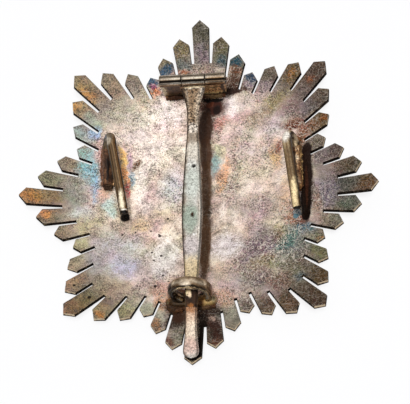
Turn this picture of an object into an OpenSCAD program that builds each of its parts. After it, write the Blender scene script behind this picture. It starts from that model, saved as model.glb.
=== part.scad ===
// Breast star of an order, lying face down: a vaulted plate of forty-eight rays with a hinged
// dress pin, the ring hook that holds the pin, and two wire hooks at the sides. Millimetres.
// +Z is the back of the star, +Y is the point above the hinge, and z = 0 is the front of the boss.

/* [Star plate] */
// Distance between the tips of two opposite main rays
star_span = 88; // [80:1:96]
// Thickness of the plate
plate_t = 1; // [0.8:0.1:1.6]
// Height of the main tips above the middle of the plate's hollow back
vault_rise = 7.8; // [6:0.1:10]
// Width of the saw cut at the root of each slit
kerf = 0.55; // [0.35:0.05:0.7]

/* [Centre boss] */
// Diameter of the plain boss on the front
boss_d = 29; // [24:1:36]
// Height of the boss below the plate
boss_h = 3.2; // [2:0.1:4]
// Width of the raised rim that the star rests on
rim_w = 2.4; // [1.5:0.1:4]
// Depth of the sunk field inside the rim
field_sink = 0.7; // [0.3:0.1:1.2]

/* [Hinge] */
// Length of the whole hinge barrel
barrel_len = 16.2; // [14:0.1:20]
// Outer diameter of the knuckles
barrel_d = 2.95; // [2.6:0.05:3.6]
// Diameter of the hinge rod
rod_d = 1.2; // [0.8:0.1:1.4]
// Height of the hinge axis above the middle of the plate
axis_rise = 11; // [10:0.1:12]
// Length of the middle knuckle, which is part of the pin
middle_len = 5.65; // [5:0.05:7]
// Thickness of the upright leaf of the bracket
leaf_t = 1.4; // [1:0.1:2]

/* [Pin] */
// Height of the pin's upper face above the middle of the plate
pin_rise = 10.3; // [9.8:0.1:10.4]
// Thickness of the blade
pin_t = 1.4; // [1.2:0.1:1.7]
// Width of the bevel along the blade's upper edges
pin_bevel = 0.45; // [0.2:0.05:0.6]

/* [Catch] */
// Outer diameter of the ring hook
ring_d = 10.6; // [10:0.1:12.5]
// Thickness of the ring's wire across the ring
ring_t = 1.5; // [1.3:0.1:2.2]
// Width of the ring's wire along the pin
ring_w = 2.9; // [2:0.1:3.4]
// How far the free end of the ring comes down past its right side, in degrees
ring_end = 30; // [10:1:40]

/* [Side hooks] */
// Thickness of the wire of the side hooks
wire_d = 2.3; // [1.8:0.1:2.6]

/* [Hidden] */

$fn = 48;
silver = [0.74, 0.70, 0.68];
gilt_silver = [0.62, 0.54, 0.42];
dark_silver = [0.42, 0.36, 0.30];

star_r = star_span / 2;
back_z = boss_h + plate_t;
vault_r = (star_r * star_r + vault_rise * vault_rise) / (2 * vault_rise);
vault_z = back_z + vault_r;
vault_fn = 360;
// soldered feet stand this far off the plate, so that every piece stays a solid of its own
seat_gap = 0.05;
// the rod sits close in the bracket and turns freely in the pin
rod_fit = 0.02;
rod_play = 0.06;
knuckle_gap = 0.16;

// height of the plate's back at a place on it
function back_at(x, y) = vault_z - sqrt(vault_r * vault_r - x * x - y * y);

// Rays. Six rays belong to each of the eight points: a main ray, two and two side rays and
// the short one in the valley. Lengths are shares of the star's radius.
REACH = 0;
WIDTH = 1;
POINT = 2;
rays = [
    // reach, width, length of the pointed end
    [1.000, 0.098, 0.041],
    [0.912, 0.094, 0.040],
    [0.832, 0.089, 0.039],
    [0.757, 0.084, 0.032],
];
// how far out the slits begin: beside a main ray, between side rays, beside a valley ray
slit_roots = [0.769, 0.700, 0.648];
points = 8;
rays_per_point = 6;
ray_count = points * rays_per_point;
ray_pitch = 360 / ray_count;
// the main rays as filed by hand lean a little to one side, in degrees clockwise from the back
main_lean = [0, -0.1, 0.3, -0.6, 0, 1, 0.3, -0.3];

// a point r out along a bearing and x to its right
function along(bearing, r, x) =
    [r * sin(bearing) + x * cos(bearing), r * cos(bearing) - x * sin(bearing)];
function ray_kind(k) = min(k % rays_per_point, rays_per_point - k % rays_per_point);
function slit_kind(k) = min(k % rays_per_point, rays_per_point - 1 - k % rays_per_point);
function ray_bearing(k) =
    k * ray_pitch + (ray_kind(k) == 0 ? main_lean[k / rays_per_point] : 0);
function ray_end(k) =
    let (row = rays[ray_kind(k)], a = ray_bearing(k), half = row[WIDTH] * star_r / 2)
    let (shoulder = (row[REACH] - row[POINT]) * star_r)
    [along(a, shoulder, -half), along(a, row[REACH] * star_r, 0), along(a, shoulder, half)];
function slit_root(k) =
    let (a = (k + 0.5) * ray_pitch, r = slit_roots[slit_kind(k)] * star_r)
    [along(a, r, -kerf / 2), along(a, r, kerf / 2)];
star_outline = [for (k = [0:ray_count - 1]) each concat(ray_end(k), slit_root(k))];

module vault(radius) {
    translate([0, 0, vault_z])
        sphere(radius, $fn = vault_fn);
}

module boss() {
    field_d = boss_d - 2 * rim_w;
    bury = 0.3;
    difference() {
        cylinder(h = back_z - bury, d = boss_d, $fn = 96);
        translate([0, 0, -1])
            cylinder(h = 1 + field_sink, d = field_d, $fn = 96);
    }
}

module star_plate() {
    color(silver)
    union() {
        intersection() {
            linear_extrude(height = back_z + 2 * vault_rise)
                polygon(star_outline);
            difference() {
                vault(vault_r + plate_t);
                vault(vault_r);
            }
        }
        boss();
    }
}

// Hinge. The bracket is a leaf that stands on the plate and rolls into the two outer knuckles.
barrel_x = -0.8;
middle_x = -0.51;
axis_y = 26.7;
axis_z = back_z + axis_rise;
barrel_r = barrel_d / 2;
// how far the leaf stops short of the barrel's ends, at the top and at the foot
leaf_in_left = [0.2, -0.25];
leaf_in_right = [0.3, 1.1];
seam_w = 0.3;
seam_deep = 0.55;
// direction of the rolled seam, in degrees above the level towards -Y
seam_tilt = 63;

module along_x(x, length) {
    translate([x - length / 2, axis_y, axis_z])
        rotate([0, 90, 0])
            children();
}

module seam(x, length) {
    translate([x, axis_y, axis_z])
        rotate([-seam_tilt, 0, 0])
            translate([-length / 2, -barrel_r - 1, -seam_w / 2])
                cube([length, seam_deep + 1, seam_w]);
}

module leaf() {
    left = barrel_x - barrel_len / 2;
    right = barrel_x + barrel_len / 2;
    translate([0, axis_y + leaf_t / 2, 0])
        rotate([90, 0, 0])
            linear_extrude(height = leaf_t)
                polygon([
                    [left + leaf_in_left[1], back_z],
                    [right - leaf_in_right[1], back_z],
                    [right - leaf_in_right[0], axis_z],
                    [left + leaf_in_left[0], axis_z]
                ]);
}

module hinge_bracket() {
    middle_room = middle_len + 2 * knuckle_gap;
    pass = 0.35;
    color(dark_silver)
    intersection() {
        difference() {
            union() {
                along_x(barrel_x, barrel_len)
                    cylinder(h = barrel_len, r = barrel_r);
                leaf();
            }
            along_x(barrel_x, barrel_len + 2)
                cylinder(h = barrel_len + 2, d = rod_d + 2 * rod_fit);
            translate([middle_x - middle_room / 2, axis_y - 5, axis_z - barrel_r - pass])
                cube([middle_room, 10, 10]);
            seam(barrel_x, barrel_len + 2);
        }
        vault(vault_r - seat_gap);
    }
}

module hinge_rod() {
    rod_len = barrel_len - 0.4;
    color(dark_silver)
        along_x(barrel_x, rod_len)
            cylinder(h = rod_len, d = rod_d);
}

// Pin. The blade narrows below the flare at the hinge, swells over the middle of the star,
// passes through the ring hook and ends in a rounded paddle.
BLADE_Y = 0;
BLADE_W = 1;
blade = [
    // y, width
    [25.10, 6.00],
    [24.20, 5.60],
    [22.80, 4.70],
    [21.20, 3.80],
    [19.60, 3.15],
    [17.50, 2.85],
    [14.50, 2.80],
    [11.90, 3.00],
    [8.70, 3.50],
    [5.60, 3.85],
    [0.00, 4.50],
    [-5.00, 4.95],
    [-9.00, 4.95],
    [-12.00, 4.75],
    [-17.70, 4.10],
    [-21.00, 3.65],
    [-27.00, 3.10],
    [-32.20, 2.85],
    [-36.40, 2.90],
    [-39.00, 3.30],
    [-41.00, 3.70],
    [-42.00, 3.50],
    [-42.60, 2.60],
    [-42.90, 1.20],
];
// the blade's middle line runs slightly across the star
blade_x = -0.47;
blade_drift = -0.013;
blade_fall = 0.005;

// an eight-cornered section of the blade: flat below, bevelled along the upper edges
function blade_section(row) =
    let (y = row[BLADE_Y], half = row[BLADE_W] / 2, x = blade_x + blade_drift * y)
    let (top = back_z + pin_rise + blade_fall * y, low = top - pin_t)
    let (cut = min(pin_bevel, half / 2), nick = 0.2)
    [
        [x + half - nick, y, low], [x - half + nick, y, low],
        [x - half, y, low + nick], [x - half, y, top - cut],
        [x - half + cut, y, top], [x + half - cut, y, top],
        [x + half, y, top - cut], [x + half, y, low + nick]
    ];

// joins a row of sections, each a ring of the same number of points, into one closed solid
module loft(sections) {
    n = len(sections[0]);
    last = len(sections) - 1;
    sides = [for (i = [0:last - 1], j = [0:n - 1])
        [i * n + j, i * n + (j + 1) % n, (i + 1) * n + (j + 1) % n, (i + 1) * n + j]];
    ends = [[for (j = [n - 1:-1:0]) j], [for (j = [0:n - 1]) last * n + j]];
    polyhedron(points = [for (s = sections) each s], faces = concat(sides, ends), convexity = 6);
}

module pin() {
    tongue_w = middle_len - 0.2;
    tongue_top = axis_z - 0.7;
    color(silver)
    difference() {
        union() {
            along_x(middle_x, middle_len)
                cylinder(h = middle_len, r = barrel_r);
            translate([middle_x - tongue_w / 2, blade[0][BLADE_Y] - 0.1, tongue_top - 1.1])
                cube([tongue_w, 1, 1.1]);
            loft([for (row = blade) blade_section(row)]);
        }
        along_x(middle_x, middle_len + 2)
            cylinder(h = middle_len + 2, d = rod_d + 2 * rod_play);
        seam(middle_x, middle_len + 2);
    }
}

// Catch. A flat bar lies on the plate, and a ring hook rises from its left end, passes over
// the pin and comes down on the right, where it stays open.
catch_x = -0.75;
catch_y = -27.1;
bar_left = -6.6;
bar_right = 4.9;
bar_w = 2.9;
bar_t = 1.3;
ring_lean = -9;
ring_back = 0.25;
ring_start = 232;

module catch_bar() {
    span = bar_right - bar_left - bar_w;
    translate([bar_left + bar_w / 2, catch_y, back_z])
        linear_extrude(height = 10)
            hull() {
                circle(d = bar_w);
                translate([span, 0])
                    circle(d = bar_w);
            }
}

module ring_hook() {
    middle_r = (ring_d - ring_t) / 2;
    round_r = 0.6;
    seat = back_at(catch_x, catch_y);
    translate([catch_x, catch_y + ring_back, seat])
        rotate([ring_lean, 0, 0])
            translate([0, 0, ring_d / 2 - 0.1])
                rotate([90, 0, 0])
                    rotate([0, 0, -ring_end])
                        rotate_extrude(angle = ring_start + ring_end)
                            translate([middle_r, 0])
                                offset(r = round_r)
                                    square([ring_t - 2 * round_r, ring_w - 2 * round_r], center = true);
}

module catch_hook() {
    color(gilt_silver)
    intersection() {
        union() {
            intersection() {
                catch_bar();
                difference() {
                    vault(vault_r + 1);
                    vault(vault_r - seat_gap - bar_t);
                }
            }
            ring_hook();
        }
        vault(vault_r - seat_gap);
    }
}

// Side hooks. A wire lies on the plate, turns back over itself at its upper end and slopes down
// to a cut end above the plate. Heights are those of the wire's middle above the plate.
HOOK_X = 0;
HOOK_Y = 1;
HOOK_H = 2;
lie = wire_d / 2 + seat_gap;
right_wire = [
    // x, y, height: foot end, start of the bend, end of the bend, free end
    [24.0, 1.0, lie],
    [23.5, 10.1, lie],
    [22.1, 10.4, 6.3],
    [24.4, -5.8, 3.9],
];
left_wire = [
    // x, y, height: foot end, start of the bend, end of the bend, free end
    [-22.8, 3.3, lie],
    [-23.1, 11.7, lie],
    [-20.9, 12.0, 6.3],
    [-17.9, -5.0, 3.9],
];
bend_steps = 12;
wire_sides = 16;
end_taper = 0.92;

function on_plate(row) =
    [row[HOOK_X], row[HOOK_Y], back_at(row[HOOK_X], row[HOOK_Y]) + row[HOOK_H]];
function unit(v) = v / norm(v);

// the wire's middle line: the foot, a half turn between the two straight legs, the upper leg
function wire_line(rows) =
    let (foot = on_plate(rows[0]), low = on_plate(rows[1]))
    let (high = on_plate(rows[2]), free = on_plate(rows[3]))
    let (half = (high - low) / 2, out = unit(low - foot) * norm(half))
    concat(
        [foot],
        [for (i = [0:bend_steps])
            let (a = 180 * i / bend_steps)
            (low + high) / 2 - half * cos(a) + out * sin(a)],
        [high + (free - high) / 2, free]
    );

// a ring of points round the wire at one place on its line
function wire_ring(line, i, d) =
    let (last = len(line) - 1, t = unit(line[min(i + 1, last)] - line[max(i - 1, 0)]))
    let (side = unit(cross(t, cross([1, 0, 0], t))), up = cross(t, side))
    [for (j = [0:wire_sides - 1])
        let (a = 360 * j / wire_sides)
        line[i] + (side * cos(a) + up * sin(a)) * d / 2];

module wire_hook(rows) {
    line = wire_line(rows);
    last = len(line) - 1;
    loft([for (i = [0:last]) wire_ring(line, i, i == last ? wire_d * end_taper : wire_d)]);
}

module left_hook() {
    color(gilt_silver)
        wire_hook(left_wire);
}

module right_hook() {
    color(gilt_silver)
        wire_hook(right_wire);
}

star_plate();
hinge_bracket();
hinge_rod();
pin();
catch_hook();
left_hook();
right_hook();
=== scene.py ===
import math
from functools import reduce

import bmesh
import bpy
from mathutils import Matrix, Vector, noise


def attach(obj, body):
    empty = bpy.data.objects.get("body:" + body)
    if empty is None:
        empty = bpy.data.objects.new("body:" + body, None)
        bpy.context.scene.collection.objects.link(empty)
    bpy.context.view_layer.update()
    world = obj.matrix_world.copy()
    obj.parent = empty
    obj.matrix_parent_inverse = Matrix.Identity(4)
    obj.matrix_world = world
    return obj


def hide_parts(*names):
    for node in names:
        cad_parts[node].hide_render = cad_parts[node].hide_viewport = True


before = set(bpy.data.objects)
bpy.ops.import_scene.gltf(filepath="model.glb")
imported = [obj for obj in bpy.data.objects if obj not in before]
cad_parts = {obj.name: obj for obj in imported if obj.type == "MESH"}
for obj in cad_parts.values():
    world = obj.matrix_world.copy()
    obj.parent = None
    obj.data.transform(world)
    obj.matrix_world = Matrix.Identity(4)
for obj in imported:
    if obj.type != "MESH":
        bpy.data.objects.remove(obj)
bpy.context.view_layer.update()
mm = 0.001
print("frame loaded")


class Flow:
    # one socket of a node tree; arithmetic on it adds Math nodes
    def __init__(self, tree, socket=None):
        self.tree, self.socket = tree, socket

    def node(self, kind, settings=None, values=None, out=0):
        made = self.tree.nodes.new(kind)
        for name, value in (settings or {}).items():
            if name == "stops":
                ramp = made.color_ramp.elements
                ramp[0].position, ramp[0].color = value[0]
                ramp[-1].position, ramp[-1].color = value[-1]
                for place, colour in value[1:-1]:
                    ramp.new(place).color = colour
            else:
                setattr(made, name, value)
        for name, value in (values or {}).items():
            if isinstance(value, Flow):
                self.tree.links.new(value.socket, made.inputs[name])
            else:
                made.inputs[name].default_value = value
        return Flow(self.tree, made.outputs[out])

    def math(self, operation, *parts, clamp=False):
        return self.node("ShaderNodeMath", {"operation": operation, "use_clamp": clamp}, dict(enumerate(parts)))

    def __add__(self, other): return self.math("ADD", self, other)
    def __radd__(self, other): return self.math("ADD", other, self)
    def __sub__(self, other): return self.math("SUBTRACT", self, other)
    def __rsub__(self, other): return self.math("SUBTRACT", other, self)
    def __mul__(self, other): return self.math("MULTIPLY", self, other)
    def __rmul__(self, other): return self.math("MULTIPLY", other, self)
    def __truediv__(self, other): return self.math("DIVIDE", self, other)
    def __rtruediv__(self, other): return self.math("DIVIDE", other, self)
    def __pow__(self, other): return self.math("POWER", self, other)

    def clip(self, gain=1.0, lift=0.0):
        # times gain, plus lift, kept between 0 and 1
        return self.math("MULTIPLY_ADD", self, gain, lift, clamp=True)

    def vector(self, operation, *parts, out=0):
        return self.node("ShaderNodeVectorMath", {"operation": operation}, dict(enumerate(parts)), out)

    def combine(self, x=0.0, y=0.0, z=0.0):
        return self.node("ShaderNodeCombineXYZ", None, {0: x, 1: y, 2: z})

    def part(self, axis):
        return self.node("ShaderNodeSeparateXYZ", None, {0: self}, axis)

    def output(self, name):
        return Flow(self.tree, self.socket.node.outputs[name])

    def blend(self, other, share, mode="MIX"):
        settings = {"data_type": "RGBA", "blend_type": mode, "clamp_factor": True}
        return self.node("ShaderNodeMix", settings, {0: share, 6: self, 7: other}, 2)

    def ramp(self, share, stops):
        return self.node("ShaderNodeValToRGB", {"stops": [(at, tone(*shade)) for at, shade in stops]}, {0: share})

    def bump(self, height, strength, deep=0.05 * mm):
        return self.node("ShaderNodeBump", None, {"Strength": strength, "Distance": deep, "Height": height})

    def join(self, *parts):
        made = self.node("GeometryNodeJoinGeometry")
        for one in parts:
            self.tree.links.new(one.socket, made.socket.node.inputs[0])
        return made


def between(low, high, share):
    return (high - low) * share + low


def swing(source, amount):
    # noise runs about 0.5; this turns it about 0
    return (source - 0.5) * amount


def highest(flow, parts):
    return reduce(lambda one, other: flow.math("MAXIMUM", one, other), parts)


def muted(shade, share):
    grey = sum(shade) / 3
    return tuple(grey + (c - grey) * share for c in shade)


def tone(red, green, blue):
    # a colour as the eye reads it, 0 to 255, made linear
    linear = [((c / 255 + 0.055) / 1.055) ** 2.4 if c > 10 else c / 255 / 12.92 for c in (red, green, blue)]
    return tuple(linear) + (1.0,)


def newMaterial(name, fixed=None):
    material = bpy.data.materials.new(name)
    material.use_nodes = True
    shader = material.node_tree.nodes["Principled BSDF"]
    for socket, value in (fixed or {}).items():
        shader.inputs[socket].default_value = value
    return material, Flow(material.node_tree), shader


def feed(flow, shader, **sockets):
    for name, value in sockets.items():
        flow.tree.links.new(value.socket, shader.inputs[name.replace("_", " ")])


def objectPlace(flow):
    return flow.node("ShaderNodeTexCoord", out="Object")


def fromMiddle(flow, place):
    return flow.vector("LENGTH", flow.vector("MULTIPLY", place, (1, 1, 0)), out=1)


def grain(flow, place, scale, detail=2.0, rough=0.55, out=0):
    values = {"Vector": place, "Scale": scale, "Detail": detail, "Roughness": rough}
    return flow.node("ShaderNodeTexNoise", None, values, out)


def strokes(flow, place, turn, narrow, detail, rough, shift=0.0):
    # noise drawn out along one direction; narrow is its scale along and across
    values = {"Vector": place, "Location": (shift, 0, 0), "Rotation": (0, 0, turn), "Scale": (*narrow, 1)}
    return grain(flow, flow.node("ShaderNodeMapping", None, values), 1.0, detail, rough)


def stray(flow, place, scale, amount):
    # the place pushed about by noise, so that nothing drawn on it has a clean edge
    push = grain(flow, place, scale, 2.0, 0.6, out=1)
    push = flow.vector("SUBTRACT", push, (0.5, 0.5, 0.5))
    return flow.vector("ADD", place, flow.vector("MULTIPLY", push, (amount, amount, amount)))


def spot(flow, place, x, y, rx, ry, turn=0.0):
    # 1 in the middle of an upright oval shaft, falling to 0 at its edge; millimetres
    values = {
        "Vector": place, "Location": (x * mm, y * mm, 0), "Rotation": (0, 0, math.radians(turn)),
        "Scale": (rx * mm, ry * mm, 1),
    }
    mapped = flow.node("ShaderNodeMapping", {"vector_type": "TEXTURE"}, values)
    return flow.node("ShaderNodeTexGradient", {"gradient_type": "SPHERICAL"}, {"Vector": mapped}, 1)


def streak(flow, colour, along, bands):
    # bands of colour, mostly painted highlights and dark reflection lines: position, colour, strength
    stops = [(at, tone(*shade)[:3] + (strength,)) for at, shade, strength in bands]
    band = flow.node("ShaderNodeValToRGB", {"stops": stops}, {0: along})
    return colour.blend(band, band.output(1))


def paint(flow, colour, place, gain, marks, strong=1.0):
    # gain is how solid a mark is; it varies with the grain, so that marks break up at their rims
    for x, y, rx, ry, turn, shade, strength in marks:
        share = flow.math("MULTIPLY", spot(flow, place, x, y, rx, ry, turn), gain, clamp=True) * strength
        colour = colour.blend(tone(*muted(shade, strong)), share)
    return colour


def newPiece(name, points, faces, material, smoothTo=40.0, others=(), marks=None):
    # others: pairs of a finish and the numbers of its faces; marks: one number for each point, under a name
    mesh = bpy.data.meshes.new(name)
    mesh.from_pydata([tuple(p) for p in points], [], faces)
    mesh.materials.append(material)
    for k, (finish, which) in enumerate(others):
        mesh.materials.append(finish)
        for i in which:
            mesh.polygons[i].material_index = k + 1
    for label, values in (marks or {}).items():
        mesh.attributes.new(label, "FLOAT", "POINT").data.foreach_set("value", values)
    shadeSmooth(mesh, smoothTo)
    piece = bpy.data.objects.new(name, mesh)
    bpy.context.scene.collection.objects.link(piece)
    return piece


def shadeSmooth(mesh, angle):
    mesh.validate()
    mesh.shade_smooth()
    mesh.set_sharp_from_angle(angle=math.radians(angle))
    mesh.update()


def circle(count):
    return [(math.cos(2 * math.pi * j / count), math.sin(2 * math.pi * j / count)) for j in range(count)]


def loft(rings, wrap=False):
    # rings of the same number of points, joined into one closed shell; returns points and faces
    count, rows = len(rings[0]), len(rings)
    faces = []
    for i in range(rows if wrap else rows - 1):
        for j in range(count):
            k, n = (j + 1) % count, (i + 1) % rows
            faces.append((i * count + j, i * count + k, n * count + k, n * count + j))
    if not wrap:
        faces.append(tuple(range(count - 1, -1, -1)))
        faces.append(tuple((rows - 1) * count + j for j in range(count)))
    return [p for ring in rings for p in ring], faces


def joined(*shells):
    points, faces = [], []
    for shellPoints, shellFaces in shells:
        base = len(points)
        points += shellPoints
        faces += [tuple(base + i for i in face) for face in shellFaces]
    return points, faces


def outward(piece):
    bm = bmesh.new()
    bm.from_mesh(piece.data)
    bmesh.ops.recalc_face_normals(bm, faces=bm.faces)
    bm.to_mesh(piece.data)
    bm.free()
    return piece


def evaluated(piece, name, smoothTo=None):
    # the piece with its modifiers applied, as a plain mesh
    bpy.context.view_layer.update()
    graph = bpy.context.evaluated_depsgraph_get()
    mesh = bpy.data.meshes.new_from_object(piece.evaluated_get(graph))
    mesh.name = name
    if smoothTo:
        shadeSmooth(mesh, smoothTo)
    piece.modifiers.clear()
    piece.data = mesh
    piece.name = name
    return piece


def bevelled(piece, width, angle, smoothTo, finish=-1):
    cut = piece.modifiers.new("edges", "BEVEL")
    cut.material = finish
    cut.width, cut.segments, cut.limit_method, cut.angle_limit = width, 2, "ANGLE", math.radians(angle)
    return evaluated(piece, piece.name, smoothTo)


view = {
    "azimuth": 27.58, "elevation": 67.13, "roll": 1.25, "distance": 0.6, "target": (0.0008, -0.00087, 0.0042),
    "lens": 217.41, "sensor": 36, "clip": (0.01, 10),
}


def placeCamera():
    az, el, roll = (math.radians(view[k]) for k in ("azimuth", "elevation", "roll"))
    back = Vector((math.sin(az) * math.cos(el), -math.cos(az) * math.cos(el), math.sin(el)))
    side = (-back).cross(Vector((0, 1, 0))).normalized()
    rise = side.cross(-back)
    right = side * math.cos(roll) + rise * math.sin(roll)
    up = rise * math.cos(roll) - side * math.sin(roll)
    camera = bpy.data.objects.new("camera", bpy.data.cameras.new("camera"))
    bpy.context.scene.collection.objects.link(camera)
    camera.matrix_world = Matrix((right, up, back)).transposed().to_4x4()
    camera.location = Vector(view["target"]) + back * view["distance"]
    camera.data.lens, camera.data.sensor_width = view["lens"], view["sensor"]
    camera.data.clip_start, camera.data.clip_end = view["clip"]
    bpy.context.scene.camera = camera


lighting = {
    # brightness of the sky at the sine of the height above the level
    "sky": ((0.12, 0.06), (0.48, 0.12), (0.70, 0.34), (0.92, 0.86), (1.0, 1.3)),
    # power, size in degrees, direction
    "key": (3.2, 7.0, (-0.03, 0.06, 1.0)),
    "onFloor": (3.1, 10.0, (0.20, -0.28, 1.0)),
    "floor": (104, 104, 106), "floorGlow": 0.80, "floorHalf": 3,
}


def sun(name, power, size, direction):
    light = bpy.data.objects.new(name, bpy.data.lights.new(name, "SUN"))
    light.data.energy, light.data.angle = power, math.radians(size)
    light.visible_glossy = False  # it shapes the shadows; the polish mirrors only the soft sky
    bpy.context.scene.collection.objects.link(light)
    light.location = Vector(direction).normalized()
    light.rotation_euler = light.location.to_track_quat("Z", "Y").to_euler()
    return light


def placeLights():
    bpy.context.scene.view_settings.view_transform = "Standard"
    world = bpy.data.worlds.new("studio")
    bpy.context.scene.world = world
    world.use_nodes = True
    flow = Flow(world.node_tree)
    height = flow.node("ShaderNodeTexCoord", out="Generated").part(2)
    stops = [(at, (glow, glow, glow, 1)) for at, glow in lighting["sky"]]
    sky = flow.node("ShaderNodeValToRGB", {"stops": stops}, {0: height})
    world.node_tree.links.new(sky.socket, world.node_tree.nodes["Background"].inputs["Color"])
    key, onFloor = sun("keyLight", *lighting["key"]), sun("floorLight", *lighting["onFloor"])
    material, flow, shader = newMaterial("paperFloor", {
        "Base Color": tone(*lighting["floor"]), "Roughness": 0.9, "Specular IOR Level": 0.1,
        "Emission Color": (1, 1, 1, 1), "Emission Strength": lighting["floorGlow"]})
    half = lighting["floorHalf"]
    corners = [(-half, -half, 0), (half, -half, 0), (half, half, 0), (-half, half, 0)]
    floor = newPiece("floor", corners, [(0, 1, 2, 3)], material)
    # one light is for the star alone, the other for the floor alone
    for light, state in ((key, "EXCLUDE"), (onFloor, "INCLUDE")):
        group = bpy.data.collections.new(light.name + "Floor")
        group.objects.link(floor)
        group.collection_objects[0].light_linking.link_state = state
        light.light_linking.receiver_collection = group


placeCamera()
placeLights()
print("camera, floor and light placed")


plate = {
    "radius": 44.0, "thickness": 1.0, "backHeight": 4.2, "rise": 7.8, "kerf": 0.55, "unevenness": 0.10,
    "columns": 9, "rowsInside": 26, "rowsOutside": 12, "edge": 0.10,
    # the saw's lean, how far it moves a rim, and the least and most of it
    "sawLean": (-0.33, -0.944), "flare": 0.30, "flareShare": (0.08, 1), "flareMix": (0.35, 0.65),
    # what is welded, how deep the field's edge sags between two slits, and the scale of the unevenness
    "weld": 0.004, "sag": 0.4, "waves": 95,
    # which walls get the painted light of the ray ends: how far they face outwards, down, and where they are
    "tipFacing": (0.35, 0.93), "tipDown": -0.2, "tipBelow": -18, "tipRightOf": 18,
    # reach, width and length of the pointed end of each kind of ray, as shares of the radius
    "rays": ((1.000, 0.098, 0.041), (0.912, 0.094, 0.040), (0.832, 0.089, 0.039), (0.757, 0.084, 0.032)),
    "slitRoots": (0.769, 0.700, 0.648), "points": 8, "raysPerPoint": 6,
    "lean": (0, -0.1, 0.3, -0.6, 0, 1, 0.3, -0.3),
}
vaultRadius = (plate["radius"] ** 2 + plate["rise"] ** 2) / (2 * plate["rise"])


def backAt(x, y):
    # height of the hollow back, millimetres
    return plate["backHeight"] + vaultRadius - math.sqrt(vaultRadius ** 2 - x * x - y * y)


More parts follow.
